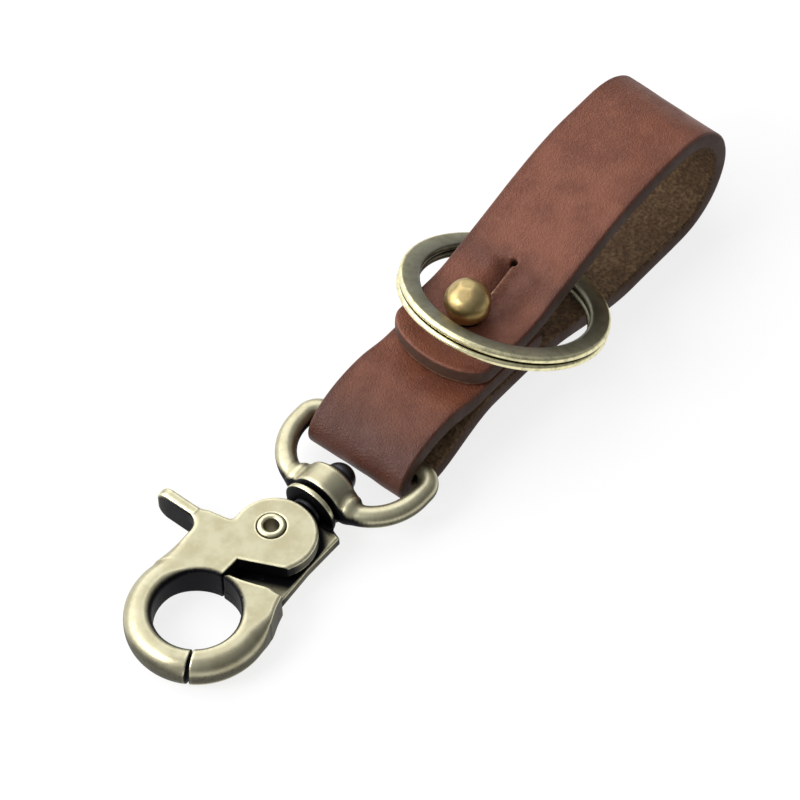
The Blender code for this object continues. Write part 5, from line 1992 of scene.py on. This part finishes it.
@dataclass
class Studio:
    """Camera, floor, world and lamps."""

    places: Places
    azimuth: float = math.radians(-51)
    elevation: float = math.radians(51.8)
    roll: float = math.radians(-0.3)
    distance: float = 1250.0
    pixels_per_mm: float = 6.15
    ball_pixel: tuple[float, float] = (468.0, 302.0)
    ball_height: float = BALL_HEIGHT
    floor_half: float = 3000.0
    floor_drop: float = 0.02
    floor_tone: float = 0.2
    floor_glow: float = 0.8

    def axes(self) -> tuple[Array, Array, Array]:
        """Return the direction to the camera and the picture's right and up directions.

        Returns:
            Three unit vectors.
        """
        a, e = self.azimuth, self.elevation
        back = np.array([math.sin(a) * math.cos(e), -math.cos(a) * math.cos(e), math.sin(e)])
        right = np.array([math.cos(a), math.sin(a), 0.0])
        up = np.cross(back, right)
        turn = np.array([[math.cos(self.roll), -math.sin(self.roll)],
                         [math.sin(self.roll), math.cos(self.roll)]])
        return back, turn[0, 0] * right + turn[0, 1] * up, turn[1, 0] * right + turn[1, 1] * up

    def camera(self) -> None:
        """Place the camera where the photograph was taken, looking at the picture's middle."""
        back, right, up = self.axes()
        ball = self.places.stud + [0, 0, self.ball_height]
        stand = ball + back * self.distance
        offset = np.array(self.ball_pixel) - PICTURE_PIXELS / 2
        aim = ball + (up * offset[1] - right * offset[0]) / self.pixels_per_mm
        away = stand - aim
        away /= np.linalg.norm(away)
        side = np.cross(up, away)
        side /= np.linalg.norm(side)
        data = bpy.data.cameras.new("camera")
        data.sensor_width = SENSOR_MM
        data.lens = self.pixels_per_mm * self.distance / PICTURE_PIXELS * SENSOR_MM
        data.clip_start, data.clip_end = 0.01, 10.0
        camera = bpy.data.objects.new("camera", data)
        turn = np.stack([side, np.cross(away, side), away], -1)
        camera.matrix_world = Matrix([[*turn[k], stand[k] * MM] for k in range(3)]
                                     + [[0, 0, 0, 1]])
        bpy.context.scene.collection.objects.link(camera)
        bpy.context.scene.camera = camera

    def floor(self) -> None:
        """Lay a floor that looks white, in metal too, and still takes the object's shadow."""
        corners = np.array([[-1, -1, 0], [1, -1, 0], [1, 1, 0], [-1, 1, 0]]) * self.floor_half
        floor = mesh_piece("floor", corners - [0, 0, self.floor_drop],
                           [np.array([[0, 1, 2, 3]])])
        material, sheet, shader = new_material("pale_floor")
        shader.inputs["Base Color"].default_value = (*[self.floor_tone] * 3, 1)
        shader.inputs["Roughness"].default_value = 0.9
        shader.inputs["Specular IOR Level"].default_value = 0.1
        path = sheet.add("LightPath").outputs
        shader.inputs["Emission Color"].default_value = (1, 1, 1, 1)
        mirrored = sheet.maths("MAXIMUM", path["Is Glossy Ray"], path["Is Transmission Ray"])
        seen = sheet.maths("MAXIMUM", path["Is Camera Ray"], mirrored)
        sheet.feed(shader.inputs["Emission Strength"], sheet.times(seen, self.floor_glow))
        floor.data.materials.append(material)

    def world(self) -> None:
        """Light the room softly, bright above and behind on the left and dim on the right.

        The strength is a smooth step of the direction's share towards the window.
        """
        world = bpy.data.worlds.new("room")
        world.use_nodes = True
        bpy.context.scene.world = world
        sheet = Sheet(world.node_tree)
        light = world.node_tree.nodes["Background"]
        light.inputs["Color"].default_value = (0.95, 0.97, 1.0, 1)
        _, right, up = self.axes()
        window = -right * 0.75 + up * 0.55 + np.array([0.0, 0.0, 0.4])
        window /= np.linalg.norm(window)
        facing = sheet.add("VectorMath", {0: sheet.add("TexCoord").outputs["Generated"],
                                          1: tuple(map(float, window))},
                           operation="DOT_PRODUCT").outputs["Value"]
        sheet.feed(light.inputs["Strength"], sheet.ramp(facing, -0.7, 0.9, 0.16, 0.6))

    def hang(self, lamp: Lamp) -> None:
        """Hang a lamp that faces the keychain.

        Its place is measured along the camera's mirror image over the table, straight up, towards
        the camera, to the picture's left and up the picture.

        Args:
            lamp: the lamp.
        """
        back, right, up = self.axes()
        mirror = np.array([-back[0], -back[1], back[2]])
        place = (mirror * lamp.mirror + np.array([0.0, 0.0, lamp.overhead]) + back * lamp.towards
                 - right * lamp.left + up * lamp.upward)
        data = bpy.data.lights.new(lamp.name, "AREA")
        data.size = lamp.width * MM
        data.energy = lamp.power
        light = bpy.data.objects.new(lamp.name, data)
        light.location = Vector(place) * MM
        light.rotation_euler = (-Vector(place)).to_track_quat("-Z", "Y").to_euler()
        bpy.context.scene.collection.objects.link(light)

    def build(self) -> None:
        """Set up the whole stage."""
        bpy.context.scene.view_settings.view_transform = "Standard"
        self.camera()
        self.floor()
        self.world()
        for lamp in LAMPS:
            self.hang(lamp)


def main() -> None:
    """Build every sub-assembly in order and report each piece."""
    logging.basicConfig(level=logging.INFO, format="%(message)s")
    for node in frame["nodes"].values():
        node.data.shade_smooth()
    places = Places.read()
    effects = Effects()
    leather = LeatherFinish().build(effects)
    brass, ring_brass_shaded, ball_brass, dark_steel, spring_steel = (
        finish.build(effects)
        for finish in (BRASS, RING_BRASS_SHADED, BALL_BRASS, DARK_STEEL, SPRING_STEEL))
    Studio(places).build()
    for assembly in (Strap(places, leather), ButtonStud(places, ball_brass, brass),
                     SplitRing(places, ring_brass_shaded),
                     SwivelSnap(places, brass, dark_steel, spring_steel)):
        for piece in assembly.build():
            log.info("%s: %s, %d faces", type(assembly).__name__, piece.name,
                     len(piece.data.polygons))


if __name__ == "__main__":
    main()
